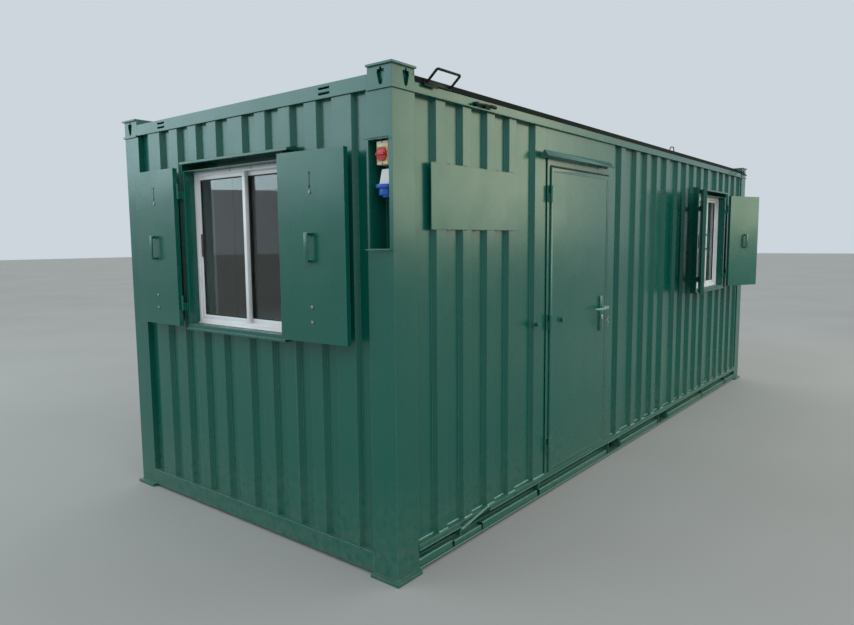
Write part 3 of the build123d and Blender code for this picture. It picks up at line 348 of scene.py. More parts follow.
def make_materials():
    """Makes each finish once, under the name of the record's slot that it belongs to."""
    finish = bpy.context.scene.cabin_finish
    enamel = list(finish.enamel)
    faded = list(finish.enamel_faded)
    materials["green_enamel"] = green_enamel("GlossEnamelOnSteel", enamel, faded)
    # Handles are rubbed by hands, so their enamel is smoother and cleaner
    materials["handle_steel"] = green_enamel("GlossEnamelOnHandle", enamel, faded, 0.2, 0.22)
    materials["lining_board"] = lining_board()
    materials["floor_board"] = floor_board()
    materials["window_glass"] = window_glass()
    for slot, looks in PLAIN_FINISHES.items():
        materials[slot] = plain_finish(*looks)


def material_slots():
    """Each CAD node with the record's slot that it is finished in."""
    return {part["node"]: part["material_slot"] for part in frame["record"]["subparts"]}


# Modelling


def alone(piece):
    """Selects one piece and nothing else."""
    if bpy.context.object and bpy.context.object.mode != "OBJECT":
        bpy.ops.object.mode_set(mode="OBJECT")
    bpy.ops.object.select_all(action="DESELECT")
    piece.select_set(True)
    bpy.context.view_layer.objects.active = piece


def settle(piece):
    """Moves a piece's place, turn and size into its mesh."""
    alone(piece)
    bpy.ops.object.transform_apply(location=True, rotation=True, scale=True)
    return piece


def block(low, high):
    """A cube primitive between two corners, to be shaped."""
    low, high = Vector(low), Vector(high)
    bpy.ops.object.select_all(action="DESELECT")
    bpy.ops.mesh.primitive_cube_add(size=1, location=(low + high) / 2)
    piece = bpy.context.object
    piece.scale = high - low
    return settle(piece)


def bar(start, end, radius, sides=16):
    """A cylinder primitive from one point to another, to be shaped."""
    start, end = Vector(start), Vector(end)
    bpy.ops.object.select_all(action="DESELECT")
    bpy.ops.mesh.primitive_cylinder_add(
        vertices=sides,
        radius=radius,
        depth=(end - start).length,
        location=(start + end) / 2,
        rotation=(end - start).to_track_quat("Z", "X").to_euler(),
    )
    return settle(bpy.context.object)


def choose(piece, test, kind="faces"):
    """Opens a piece in edit mode and selects the faces, edges or points whose middle passes the test."""
    alone(piece)
    bpy.ops.object.mode_set(mode="EDIT")
    bpy.ops.mesh.select_mode(type={"faces": "FACE", "edges": "EDGE", "verts": "VERT"}[kind])
    bpy.ops.mesh.select_all(action="DESELECT")
    mesh = bmesh.from_edit_mesh(piece.data)
    for item in getattr(mesh, kind):
        if kind == "faces":
            item.select_set(test(item.calc_center_median(), item.normal))
        elif kind == "edges":
            first, second = (v.co for v in item.verts)
            item.select_set(test((first + second) / 2, (second - first).normalized()))
        else:
            item.select_set(test(item.co, item.normal))
    mesh.select_flush_mode()
    bmesh.update_edit_mesh(piece.data)


def close(piece):
    """Leaves edit mode with every face turned outwards."""
    bpy.ops.mesh.select_all(action="SELECT")
    bpy.ops.mesh.normals_make_consistent(inside=False)
    bpy.ops.object.mode_set(mode="OBJECT")
    return piece


def push(move):
    """Extrudes what is selected by the given move."""
    bpy.ops.mesh.extrude_region_move(TRANSFORM_OT_translate={"value": move})


def everything(middle, way):
    """A test that all faces pass."""
    return True


def toward(way):
    """A test that the faces which face the given way pass."""
    return lambda middle, normal: normal.dot(Vector(way)) > 0.9


def sunk(piece, way, *steps):
    """Insets the faces that face the given way; each step is a border and how deep it sinks what is left."""
    choose(piece, toward(way))
    for border, depth in steps:
        bpy.ops.mesh.inset(thickness=border)
        push(-depth * Vector(way))
    return close(piece)


def pierced(piece, border, move):
    """A flat face inset and opened, and its rim given depth."""
    choose(piece, everything)
    bpy.ops.mesh.inset(thickness=border)
    bpy.ops.mesh.delete(type="FACE")
    bpy.ops.mesh.select_all(action="SELECT")
    push(move)
    return close(piece)


def moved(piece, place):
    """A piece whose mesh is taken to another place."""
    piece.data.transform(place)
    return piece


def rounded(piece, width, segments=2, angle=30):
    """Bevels the sharp edges of a piece and smooths its shading."""
    bevel = piece.modifiers.new("Edges", "BEVEL")
    bevel.width = width
    bevel.segments = segments
    bevel.angle_limit = math.radians(angle)
    alone(piece)
    bpy.ops.object.modifier_apply(modifier=bevel.name)
    bpy.ops.object.shade_smooth_by_angle(angle=math.radians(35))
    return piece


def copied(piece, places):
    """Copies of a piece at the given places, each with a mesh of its own, in place of the piece."""
    copies = []
    for place in places:
        copy = piece.copy()
        copy.data = piece.data.copy()
        bpy.context.scene.collection.objects.link(copy)
        copy.matrix_world = place
        copies.append(settle(copy))
    bpy.data.objects.remove(piece)
    return copies


def joined(pieces):
    """Several pieces as one."""
    alone(pieces[0])
    for piece in pieces:
        piece.select_set(True)
    bpy.ops.object.join()
    return bpy.context.object


def fitted(piece, name, slot, body="cabin", stands_for=(), finish=None):
    """Names a finished piece, gives it its finish and lets it ride on its body."""
    piece.name = name
    piece.data.name = name
    piece.data.materials.clear()
    piece.data.materials.append(materials[finish or slot])
    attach(piece, body)
    if stands_for:
        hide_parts(*stands_for)
    return piece


def ring(x_range, z_range, near, far, width):
    """An upright rectangular ring in the X-Z plane: a plane inset, opened and given its depth."""
    bpy.ops.object.select_all(action="DESELECT")
    middle = (sum(x_range) / 2, near, sum(z_range) / 2)
    bpy.ops.mesh.primitive_plane_add(size=1, location=middle, rotation=(math.pi / 2, 0, 0))
    piece = bpy.context.object
    piece.scale = (x_range[1] - x_range[0], z_range[1] - z_range[0], 1)
    return pierced(settle(piece), width, (0, far - near, 0))


def disc(centre, way, radius, sides):
    """A filled circle that faces the given way."""
    bpy.ops.object.select_all(action="DESELECT")
    bpy.ops.mesh.primitive_circle_add(
        vertices=sides,
        radius=radius,
        fill_type="NGON",
        location=centre,
        rotation=way.to_track_quat("Z", "X").to_euler(),
    )
    return settle(bpy.context.object)


def screw(radius):
    """A pan-head screw that faces -Y at the origin, with a recess in its head."""
    piece = bar((0, 0.002, 0), (0, -0.45 * radius, 0), radius, 16)
    choose(piece, toward(FRONTWARD))
    bpy.ops.mesh.inset(thickness=radius * 0.3)
    bpy.ops.transform.translate(value=(0, -0.15 * radius, 0))
    bpy.ops.mesh.inset(thickness=radius * 0.35)
    push((0, 0.3 * radius, 0))
    close(piece)
    return rounded(piece, 0.12 * radius, 2, 40)


def place_facing(point, facing):
    """The turn and move that take a piece made facing -Y to a point, facing the given way."""
    turn = Vector(FRONTWARD).rotation_difference(Vector(facing)).to_matrix().to_4x4()
    return Matrix.Translation(point) @ turn


def tube(points, radius, bend, sides=None):
    """A round rod along a path: a circle extruded along each straight and spun round each corner."""
    points = [Vector(point) for point in points]
    way = (points[1] - points[0]).normalized()
    piece = disc(points[0], way, radius, sides or bpy.context.scene.cabin_sizes.rod_sides)
    choose(piece, everything)
    here = points[0]
    for corner, after in zip(points[1:], points[2:]):
        leave = (after - corner).normalized()
        turn = way.angle(leave)
        axis = way.cross(leave).normalized()
        reach = bend * math.tan(turn / 2)
        push(corner - way * reach - here)
        centre = corner - way * reach + axis.cross(way) * bend
        bpy.ops.mesh.spin(steps=6, angle=-turn, center=centre, axis=axis)
        here, way = corner + leave * reach, leave
    push(points[-1] - here)
    close(piece)
    return rounded(piece, radius * 0.3, 2, 50)


def bead(start, end, seed, radius=None):
    """A weld bead: a bar cut into short lengths, its points shaken a little, then smoothed."""
    radius = radius or bpy.context.scene.cabin_sizes.weld_bead
    start, end = Vector(start), Vector(end)
    piece = bar(start, end, radius, 8)
    way = (end - start).normalized()
    choose(piece, lambda middle, along: abs(along.dot(way)) > 0.99, "edges")
    bpy.ops.mesh.subdivide(number_cuts=max(2, int((end - start).length / 0.008)))
    bpy.ops.mesh.select_all(action="SELECT")
    bpy.ops.transform.vertex_random(offset=radius * 0.35, seed=seed)
    close(piece)
    bpy.ops.object.shade_smooth()
    return piece


def plate(low, high, edge=0.001):
    """A flat bar between two corners, its edges broken."""
    return rounded(block(low, high), edge)


def folded(bends, run, thick, edge=0.0008):
    """A folded sheet: a plane over its first leg, drawn out to each further bend, then made thick."""
    bends = [Vector(bend) for bend in bends]
    run = Vector(run)
    leg = bends[1] - bends[0]
    turn = Matrix((run.normalized(), leg.normalized(), run.cross(leg).normalized())).transposed()
    bpy.ops.object.select_all(action="DESELECT")
    bpy.ops.mesh.primitive_plane_add(size=1, location=bends[0] + (run + leg) / 2, rotation=turn.to_euler())
    piece = bpy.context.object
    piece.scale = (run.length, leg.length, 1)
    settle(piece)
    for here, there in zip(bends[1:], bends[2:]):
        choose(piece, lambda middle, way: (middle - here - run / 2).length < 0.0001, "edges")
        push(there - here)
        close(piece)
    sheet = piece.modifiers.new("Sheet", "SOLIDIFY")
    sheet.thickness = thick
    sheet.offset = 0
    alone(piece)
    bpy.ops.object.modifier_apply(modifier=sheet.name)
    return rounded(piece, edge, 2)


def washer(centre, way, outer, inner, thick):
    """A flat ring that faces the given way: a disc inset and opened, then given its thickness."""
    way = Vector(way).normalized()
    return pierced(disc(centre, way, outer, 32), outer - inner, way * thick)


def shutter_place(window_place, side, opened):
    """From a shutter's own frame, its hinge axis at the origin, to the cabin's."""
    turn = math.radians(180 + opened if side > 0 else -opened)
    shift = Matrix.Translation((side * 0.484, -0.0725, 0))
    return window_place @ shift @ Matrix.Rotation(turn, 4, "Z")


SHUTTERS = (
    ("end_shutter_back", end_place, -1, 181.0),
    ("end_shutter_front", end_place, 1, 183.0),
    ("front_shutter_left", front_place, -1, 160.5),
    ("front_shutter_right", front_place, 1, 157.0),
)
WINDOWS = (("end", end_place), ("front", front_place))


# Operators, one for each piece or group of like pieces


class CABIN_OT_finishes(bpy.types.Operator):
    """Give every CAD node its finish"""

    bl_idname = "cabin.finishes"
    bl_label = "Finishes"

    def execute(self, context):
        make_materials()
        slots = material_slots()
        for name, node in frame["nodes"].items():
            if name not in slots:
                raise RuntimeError(f"no finish is given for {name}")
            node.data.materials.clear()
            node.data.materials.append(materials[slots[name]])
        return {"FINISHED"}


class CABIN_OT_shutter_bolts(bpy.types.Operator):
    """Add the bolt slots and their screws to the shutters"""

    bl_idname = "cabin.shutter_bolts"
    bl_label = "Shutter bolts"

    def execute(self, context):
        head = context.scene.cabin_sizes.screw_head
        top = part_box("left_window_shutter_back")[1].z
        # Bolts and pull stand on one line, this far from the hinge's axis
        middle = 0.246
        for body, window_place, side, opened in SHUTTERS:
            place = shutter_place(window_place, side, opened)
            inward = -side
            face = inward * 0.0225
            way = (0, inward, 0)
            proud = face + inward * 0.0009

            # The slot and its two bolt holes are raised pieces in black: painted shade standing for their
            # hollows
            near, far = sorted((face, proud))
            slot = plate((middle - 0.0022, near, top - 0.178), (middle + 0.0022, far, top - 0.112), 0.0004)
            holes = []
            for down, radius in ((0.112, 0.0065), (0.180, 0.0075)):
                hole = bar((middle, face, top - down), (middle, proud, top - down), radius, 20)
                holes.append(sunk(hole, way, (radius * 0.35, 0.0006)))
            dark = moved(joined([slot, *holes]), place)
            fitted(dark, f"bolt_slot_{body}", "handle_steel", body, finish="black_rubber")

            spots = [place_facing(Vector((middle, face, top - down)), way) for down in (0.208, 0.792, 0.870)]
            heads = moved(joined(copied(screw(head), spots)), place)
            fitted(heads, f"screws_{body}", "handle_steel", body, finish="zinc_steel")

            feet = []
            for down in (0.4215, 0.5535):
                foot = washer((middle, face, top - down), way, 0.011, 0.0058, 0.003)
                feet.append(rounded(foot, 0.0008))
            fitted(moved(joined(feet), place), f"pull_feet_{body}", "green_enamel", body)

            # A flat strap is bent over the rod of each pull; its top is capped in pale enamel, a painted
            # highlight for the sky light on it
            out = face + inward * 0.0375
            reach = [
                (middle + 0.014, face, top - 0.4140),
                (middle + 0.014, out, top - 0.4140),
                (middle + 0.014, out, top - 0.5610),
                (middle + 0.014, face, top - 0.5610),
            ]
            strap = folded(reach, (-0.028, 0, 0), 0.0025)
            fitted(moved(strap, place), f"pull_strap_{body}", "green_enamel", body)
            near, far = sorted((face, out))
            cap = plate((middle - 0.0135, near, top - 0.4130), (middle + 0.0135, far, top - 0.4105), 0.0010)
            fitted(moved(cap, place), f"pull_top_{body}", "green_enamel", body, finish="pale_enamel")
        return {"FINISHED"}


class CABIN_OT_windows(bpy.types.Operator):
    """Model the sliding windows with their gaskets, tracks, panes and catches"""

    bl_idname = "cabin.windows"
    bl_label = "Window fittings"

    def execute(self, context):
        wide = context.scene.cabin_sizes.gasket_wide
        # Each sash: its run along the window, and its near and far face behind the wall's plane
        sashes = (((-0.4265, 0.0600), 0.0285, 0.0475), ((0.0220, 0.4265), 0.0505, 0.0695))
        rows = (1.2325, 2.1250)
        stile = 0.0290
        # How far a pane reaches into its sash
        lap = 0.004
        frames, panes, boards = [], [], []
        for name, place in WINDOWS:
            outer = ring((-0.4515, 0.4515), (1.2065, 2.1455), 0.0235, 0.0760, 0.0245)
            whites = [rounded(outer, 0.0018)]
            gaskets = []
            for columns, near, far in sashes:
                sash = ring(columns, rows, near, far, stile)
                whites.append(rounded(sash, 0.0022))
                inner = (columns[0] + stile, columns[1] - stile)
                opening = (rows[0] + stile, rows[1] - stile)
                gaskets.append(rounded(ring(inner, opening, near + 0.004, far - 0.008, wide), 0.0012))
                pane = block(
                    (inner[0] - lap, near + 0.010, opening[0] - lap),
                    (inner[1] + lap, near + 0.014, opening[1] + lap),
                )
                panes.append(moved(rounded(pane, 0.0004, 1), place))
            # The near sash's leading stile has a raised rib that hooks over the far one
            whites.append(plate((0.0330, 0.0245, rows[0] + 0.002), (0.0590, 0.0290, rows[1] - 0.002), 0.0018))
            # Ribs of the two sliding tracks, and the nosing below them
            for deep in (0.0265, 0.0485):
                whites.append(plate((-0.4270, deep, 1.2310), (0.4270, deep + 0.0022, 1.2370), 0.0006))
            whites.append(plate((-0.4500, 0.0125, 1.2065), (0.4500, 0.0240, 1.2125), 0.0015))
            frames.append(moved(joined(whites), place))
            # White boards line the opening on the room's side
            board = ring((-0.4440, 0.4440), (1.2140, 2.1380), 0.0765, 0.1500, 0.0150)
            boards.append(moved(rounded(board, 0.0015), place))
            brush = plate((0.0305, 0.0480, rows[0]), (0.0360, 0.0505, rows[1]), 0.0006)
            # Dark screws sit in the head of the outer frame
            spots = [place_facing(Vector((x, 0.0235, 2.1340)), FRONTWARD) for x in (-0.075, 0.125)]
            rubber = joined([*gaskets, brush, *copied(screw(0.0040), spots)])
            fitted(moved(rubber, place), f"gaskets_{name}", "white_frame", finish="black_rubber")

            # A finger pull with a bolt stands on the outer stile of the near sash
            pull = block((-0.396, 0.0200, 1.625), (-0.384, 0.0310, 1.765))
            pull = rounded(sunk(pull, FRONTWARD, (0.003, 0.004)), 0.0012)
            bolt = bar((-0.390, 0.0180, 1.695), (-0.390, 0.0240, 1.695), 0.0040, 16)
            catch = joined([pull, rounded(sunk(bolt, FRONTWARD, (0.0012, 0.001)), 0.0006)])
            fitted(moved(catch, place), f"catch_{name}", "white_frame", finish="grey_nylon")
        fitted(joined(frames), "sliding_frames", "white_frame", stands_for=("window_sashes",))
        fitted(joined(panes), "window_panes", "window_glass", stands_for=("window_glass",))
        fitted(joined(boards), "window_linings", "white_frame")
        return {"FINISHED"}


class CABIN_OT_door_trim(bpy.types.Operator):
    """Fold the rain hood, and trim the door with its seal and the lip of its skin"""

    bl_idname = "cabin.door_trim"
    bl_label = "Door trim"

    def execute(self, context):
        frame_face = front + 0.002
        leaf_start = leaf_high.x - 0.888
        hood_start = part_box("door_hood")[0].x
        bends = ((0, 2.2310), (-0.028, 2.2730), (-0.056, 2.2345))
        sheet = folded([(hood_start, frame_face + out, up) for out, up in bends], (1.004, 0, 0), 0.004)
        welds = [
            bead((x, frame_face - 0.001, 2.2335), (x + 0.045, frame_face - 0.001, 2.2335), int(100 * x) % 97)
            for x in (hood_start + 0.03, hood_start + 0.34, hood_start + 0.63, hood_start + 0.92)
        ]
        fitted(joined([sheet, *welds]), "rain_hood", "green_enamel", stands_for=("door_hood",))

        # The seal shows as a dark line over the leaf and beside its lock edge; its black also paints the
        # shadow in the gap round the leaf
        near = frame_face - 0.0028
        corner = (leaf_high.x + 0.017, frame_face + 0.001, leaf_high.z + 0.0135)
        head = plate((leaf_start - 0.002, near, leaf_high.z + 0.0055), corner, 0.0012)
        side = plate((leaf_high.x + 0.009, near, leaf_low.z), corner, 0.0012)
        fitted(joined([head, side]), "door_seal", "green_enamel", finish="black_rubber")

        # The skin's edge is folded over all round as a flat lip
        face = front - 0.006
        columns = (leaf_start + 0.003, leaf_high.x - 0.003)
        rows = (leaf_low.z + 0.003, leaf_high.z - 0.003)
        lip = ring(columns, rows, face + 0.0005, face - 0.0018, 0.026)
        fitted(rounded(lip, 0.0008), "door_skin_lip", "green_enamel", "door")
        return {"FINISHED"}


class CABIN_OT_board(bpy.types.Operator):
    """Cut the bare board from sheet and tack it to the wall's crests"""

    bl_idname = "cabin.board"
    bl_label = "Bare board"

    def execute(self, context):
        wall_face = front + 0.010
        low = Vector((-2.9005, wall_face - 0.0035, 1.769))
        high = Vector((-2.0480, wall_face - 0.0002, 2.1065))
        sheet = block(low, high)
        choose(sheet, everything)
        bpy.ops.mesh.subdivide(number_cuts=14)
        close(sheet)
        # Sheet that has been tacked on is never quite flat
        wave = bpy.data.textures.new("board_wave", "CLOUDS")
        wave.noise_scale = 0.45
        bend = sheet.modifiers.new("Wave", "DISPLACE")
        bend.texture = wave
        bend.strength = 0.0022
        bend.mid_level = 0.7
        bend.direction = "Y"
        alone(sheet)
        bpy.ops.object.modifier_apply(modifier=bend.name)
        bpy.ops.object.shade_smooth_by_angle(angle=math.radians(30))
        tacks = []
        for x in (-2.876, -2.760, -2.604, -2.448, -2.292, -2.128):
            for z, lift in ((high.z, 0.001), (low.z, -0.001)):
                ends = [(place, wall_face - 0.001, z + lift) for place in (x, x + 0.016)]
                tacks.append(bead(*ends, int(abs(1000 * x)) % 89, 0.0032))
        fitted(joined([sheet, *tacks]), "bare_board", "green_enamel", stands_for=("front_board",))
        return {"FINISHED"}


class CABIN_OT_corners(bpy.types.Operator):
    """Line the lifting boxes, bead their seams and fold the lips of the service recess"""

    bl_idname = "cabin.corners"
    bl_label = "Corner details"

    def execute(self, context):
        for side, along in (("front", -1), ("back", 1)):
            for end, across in (("left", -1), ("right", 1)):
                low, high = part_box(f"lifting_box_{side}_{end}")
                # Walls inside the box, behind its holes
                x = low.x if across < 0 else high.x
                y = low.y if along < 0 else high.y
                inner_x = x - across * 0.031
                inner_y = y - along * 0.031
                span_x = sorted((inner_x, x - across * 0.170))
                span_y = sorted((inner_y, y - along * 0.160))
                bottom, top = low.z + 0.012, high.z - 0.012
                walls = [
                    plate((inner_x - 0.0015, span_y[0], bottom), (inner_x + 0.0015, span_y[1], top)),
                    plate((span_x[0], inner_y - 0.0015, bottom), (span_x[1], inner_y + 0.0015, top)),
                ]
                fitted(joined(walls), f"lifting_box_walls_{side}_{end}", "green_enamel")

                # Beads where the box meets its cap and its seat
                seams = []
                skin_x = x - across * 0.0095
                skin_y = y - along * 0.0095
                for z in (low.z + 0.0095, high.z - 0.0085):
                    seams.append(bead((skin_x, skin_y, z), (skin_x, skin_y - along * 0.150, z), 3, 0.0025))
                    seams.append(bead((skin_x, skin_y, z), (skin_x - across * 0.165, skin_y, z), 4, 0.0025))
                fitted(joined(seams), f"lifting_box_beads_{side}_{end}", "green_enamel")

        # Lips above and below the service recess: where each starts, its run, its sheet and its bends
        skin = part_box("post_front_left")[0].x
        lips = []
        for y, run, thick, bends in (
            (-1.060, -0.158, 0.0025, ((0.004, 2.1955), (-0.0035, 2.1955), (-0.0035, 2.1985))),
            (-1.062, -0.150, 0.003, ((0.010, 1.6722), (-0.0075, 1.6722), (-0.0075, 1.6685))),
        ):
            lips.append(folded([(skin + inward, y, z) for inward, z in bends], (0, run, 0), thick))
        fitted(joined(lips), "recess_lips", "green_enamel")
        return {"FINISHED"}


class CABIN_OT_roof_edge(bpy.types.Operator):
    """Add the rail clamp, the wire eye and the bracket under the near hoop"""

    bl_idname = "cabin.roof_edge"
    bl_label = "Roof edge fittings"

    def execute(self, context):
        rail_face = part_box("top_side_rails")[0].y + 0.0085
        # Clamp: a short rod held by two ears that stand on the rail's face
        path = ((-2.545, 0.016, 2.440), (-2.440, 0.018, 2.448), (-2.335, 0.016, 2.447))
        rod = tube([(x, rail_face - out, z) for x, out, z in path], 0.0065, 0.03, 14)
        ears = []
        for x in (-2.520, -2.440):
            ear = bar((x, rail_face + 0.002, 2.444), (x, rail_face - 0.022, 2.444), 0.013, 18)
            choose(ear, toward(FRONTWARD))
            bpy.ops.transform.resize(value=(0.7, 1, 0.7))
            ears.append(rounded(close(ear), 0.0015))
        sleeve = bar((-2.395, rail_face - 0.016, 2.4475), (-2.345, rail_face - 0.016, 2.4470), 0.0100, 18)
        fitted(joined([rod, *ears, rounded(sleeve, 0.0018)]), "rail_clamp", "hoop_steel")

        # Eye: a thin rod bent over the roof's edge like a tall narrow arch
        edge_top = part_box("roof_deck")[1].z
        y = front + 0.006
        path = ((0.545, 0, -0.006), (0.575, 0.004, 0.030), (0.640, 0.004, 0.034), (0.672, 0, -0.006))
        eye = tube([(x, y - out, edge_top + rise) for x, out, rise in path], 0.0042, 0.012, 12)
        fitted(eye, "roof_eye", "hoop_steel")

        # Bracket under the near hoop
        bends = ((0.001, 2.481), (-0.010, 2.474), (-0.0105, 2.462))
        bracket = folded([(-2.972, rail_face + inward, z) for inward, z in bends], (0.108, 0, 0), 0.004)
        fitted(bracket, "hoop_bracket", "hoop_steel")
        return {"FINISHED"}


class CABIN_OT_rail_welds(bpy.types.Operator):
    """Run the bead along the foot of the walls, and dress the bottom rail of the door side"""

    bl_idname = "cabin.rail_welds"
    bl_label = "Rail welds"

    def execute(self, context):
        low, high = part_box("bottom_side_rails")
        ledge = high.z
        stretches = []
        # The bead steps in and out with the sheet, from crest to valley
        for face in (front + 0.010, front + 0.036):
            for start, end in self.stretches(face):
                ends = [(x, face - 0.001, ledge + 0.001) for x in (start, end)]
                stretches.append(bead(*ends, len(stretches) + 1, 0.005))
        # The bead is finished in pale enamel: a painted highlight where its fillet faces the sky
        fitted(joined(stretches), "wall_foot_bead", "green_enamel", finish="pale_enamel")

        # Angle welded along the lower web between the gussets and the fork pockets, not all at one height
        kerbs, edges = [], []
        for start, end, top in (
            (low.x, -2.742, 0.0645),
            (-2.720, -2.456, 0.0540),
            (-2.441, -1.800, 0.0650),
            (-1.765, -0.700, 0.0600),
            (-0.420, 0.420, 0.0620),
            (0.700, 1.745, 0.0635),
            (1.780, 2.605, 0.0600),
            (2.640, high.x, 0.0640),
        ):
            bends = ((0.043, top + 0.001), (0.003, top), (0.003, 0.0245))
            section = [(start, front + inward, z) for inward, z in bends]
            kerbs.append(folded(section, (end - start, 0, 0), 0.004))
            # A thin strip in pale enamel along each kerb's top paints the highlight that sky light puts on
            # its edge
            highlight_span = (start, front + 0.0005, top + 0.0010), (end, front + 0.0110, top + 0.0035)
            edges.append(plate(*highlight_span, 0.0008))
        fitted(joined(kerbs), "rail_kerbs", "green_enamel")

        # The ledge's lip, deeper than the fold behind it; a knock has bent one stretch of it upwards
        lips = []
        # The lip's edge, its bent stretch and the bottom flange's edge get strips in pale enamel: painted
        # highlights where sky light catches them
        for start, end in ((low.x, -2.675), (-2.372, high.x)):
            lips.append(plate((start, low.y - 0.0020, 0.1205), (end, low.y + 0.0010, ledge + 0.0005), 0.0012))
            edges.append(plate((start, low.y - 0.0030, 0.1195), (end, low.y - 0.0005, 0.1225), 0.0008))
        fitted(joined(lips), "rail_lips", "green_enamel")
        edge_face = low.y - 0.0005
        knocked = [(-2.672, edge_face, 0.1130), (-2.600, edge_face, 0.1240), (-2.395, edge_face, 0.1600)]
        edges.append(folded(knocked, (0, -0.014, 0), 0.005))
        edges.append(plate((low.x, low.y - 0.0015, 0.0222), (high.x, low.y + 0.0010, 0.0262), 0.0008))
        fitted(joined(edges), "rail_edges", "green_enamel", finish="pale_enamel")
        return {"FINISHED"}

    @staticmethod
    def stretches(face):
        """Stretches along the front whose sheet lies at the given face, found from the walls' own meshes."""
        found = set()
        for wall in ("left", "middle", "over_and_under_window", "right"):
            mesh = frame["nodes"][f"front_wall_{wall}"].data
            for edge in mesh.edges:
                first, second = (mesh.vertices[number].co for number in edge.vertices)
                flat = abs(first.y - face) < 0.0005 and abs(second.y - first.y) < 0.0005
                low = abs(first.z - 0.150) < 0.001 and abs(second.z - 0.150) < 0.001
                if flat and low and abs(second.x - first.x) > 0.03:
                    found.add((round(min(first.x, second.x), 4), round(max(first.x, second.x), 4)))
        return sorted(found)


class CABIN_OT_lever(bpy.types.Operator):
    """Model the door lever with its inner and outer grips"""

    bl_idname = "cabin.lever"
    bl_label = "Door lever"

    def execute(self, context):
        low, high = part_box("door_lever")
        centre = Vector((-0.880, 0, high.z - 0.011))
        faces = (low.y + 0.0065, high.y - 0.0065)
        spindle = [(centre.x, y, centre.z) for y in (faces[0] + 0.004, faces[1] - 0.004)]
        parts = [bar(*spindle, 0.0098, 24)]
        for face, way in ((faces[0], -1), (faces[1], 1)):
            # The grip: a short block drawn out in steps, each thinner and nearer the door than the last
            grip = block(
                (centre.x - 0.012, face - 0.006, centre.z - 0.010),
                (centre.x + 0.010, face + 0.006, centre.z + 0.010),
            )
            choose(grip, toward(LEFTWARD))
            for run, rise, inward, slim in (
                (0.022, -0.001, 0.000, 0.92),
                (0.040, -0.004, 0.003, 0.94),
                (0.045, -0.001, 0.006, 0.94),
                (0.035, 0.003, 0.008, 0.92),
                (0.012, 0.003, 0.008, 0.80),
            ):
                push((-run, -way * inward, rise))
                bpy.ops.transform.resize(value=(1, slim, slim))
            close(grip)
            parts.append(rounded(grip, 0.0042, 3, 20))
            collar = [(centre.x, face - way * deep, centre.z) for deep in (0.006, 0.040)]
            parts.append(rounded(bar(*collar, 0.0125, 24), 0.002))
        # The grips are finished in pale enamel: a painted highlight on the lever, partly rubbed paint
        fitted(joined(parts), "lever_grips", "handle_steel", "lever", ("door_lever",), "pale_enamel")
        return {"FINISHED"}


class CABIN_OT_lock(bpy.types.Operator):
    """Cover the lever's plate, and add the lock, the key in it and the ring with two more"""

    bl_idname = "cabin.lock"
    bl_label = "Lock and keys"

    def execute(self, context):
        x, face, z = -0.880, -1.2345, 1.136
        # The plate's cover: a flat bar, raised inside its rim and held by two screws
        cover = block((x - 0.0285, face - 0.0022, 1.0375), (x + 0.0285, face + 0.0010, 1.2945))
        cover = rounded(sunk(cover, FRONTWARD, (0.0045, -0.0016)), 0.0012)
        spots = [place_facing(Vector((x, face - 0.0036, up)), FRONTWARD) for up in (1.0560, 1.2770)]
        heads = copied(screw(0.0050), spots)
        fitted(joined([cover, *heads]), "lever_plate_cover", "handle_steel", "door")
        face -= 0.0030
        keep = rounded(washer((x, face + 0.001, z), FRONTWARD, 0.0165, 0.0105, 0.005), 0.0012)
        cylinder = bar((x, face + 0.002, z), (x, face - 0.006, z), 0.0100, 28)
        parts = [keep, rounded(sunk(cylinder, FRONTWARD, (0.0025, 0.0012)), 0.0006)]

        # A key is a flat bow drawn out into its blade
        def key(at, turn):
            bow = washer((0, -0.0015, 0), (0, 1, 0), 0.0145, 0.0042, 0.0030)
            rounded(bow, 0.0005)
            blade = plate((-0.0045, -0.0015, -0.044), (0.0045, 0.0015, -0.0125), 0.0004)
            choose(blade, toward(DOWNWARD))
            bpy.ops.transform.resize(value=(0.5, 1, 1))
            close(blade)
            return moved(joined([bow, blade]), Matrix.Translation(at) @ turn.to_4x4())

        # One key stands in the lock, edge up; two more hang from its ring
        edge_up = Matrix.Rotation(math.pi / 2, 3, "X") @ Matrix.Rotation(math.pi / 2, 3, "Z")
        parts.append(key((x, face - 0.040, z), edge_up))
        bpy.ops.object.select_all(action="DESELECT")
        bpy.ops.mesh.primitive_torus_add(
            major_radius=0.0135,
            minor_radius=0.0011,
            major_segments=40,
            minor_segments=10,
            location=(x + 0.001, face - 0.043, z - 0.0135),
            rotation=(math.pi / 2, 0, 0.35),
        )
        parts.append(settle(bpy.context.object))
        bpy.ops.object.shade_smooth()
        for turn, tilt, drop in ((0.9, 0.10, 0.0385), (0.2, -0.22, 0.0395)):
            hang = Matrix.Rotation(turn, 3, "Z") @ Matrix.Rotation(tilt, 3, "Y")
            parts.append(key((x + 0.001 + 0.006 * tilt, face - 0.043, z - drop), hang))
        fitted(joined(parts), "lock_and_keys", "handle_steel", "door", finish="key_metal")
        return {"FINISHED"}


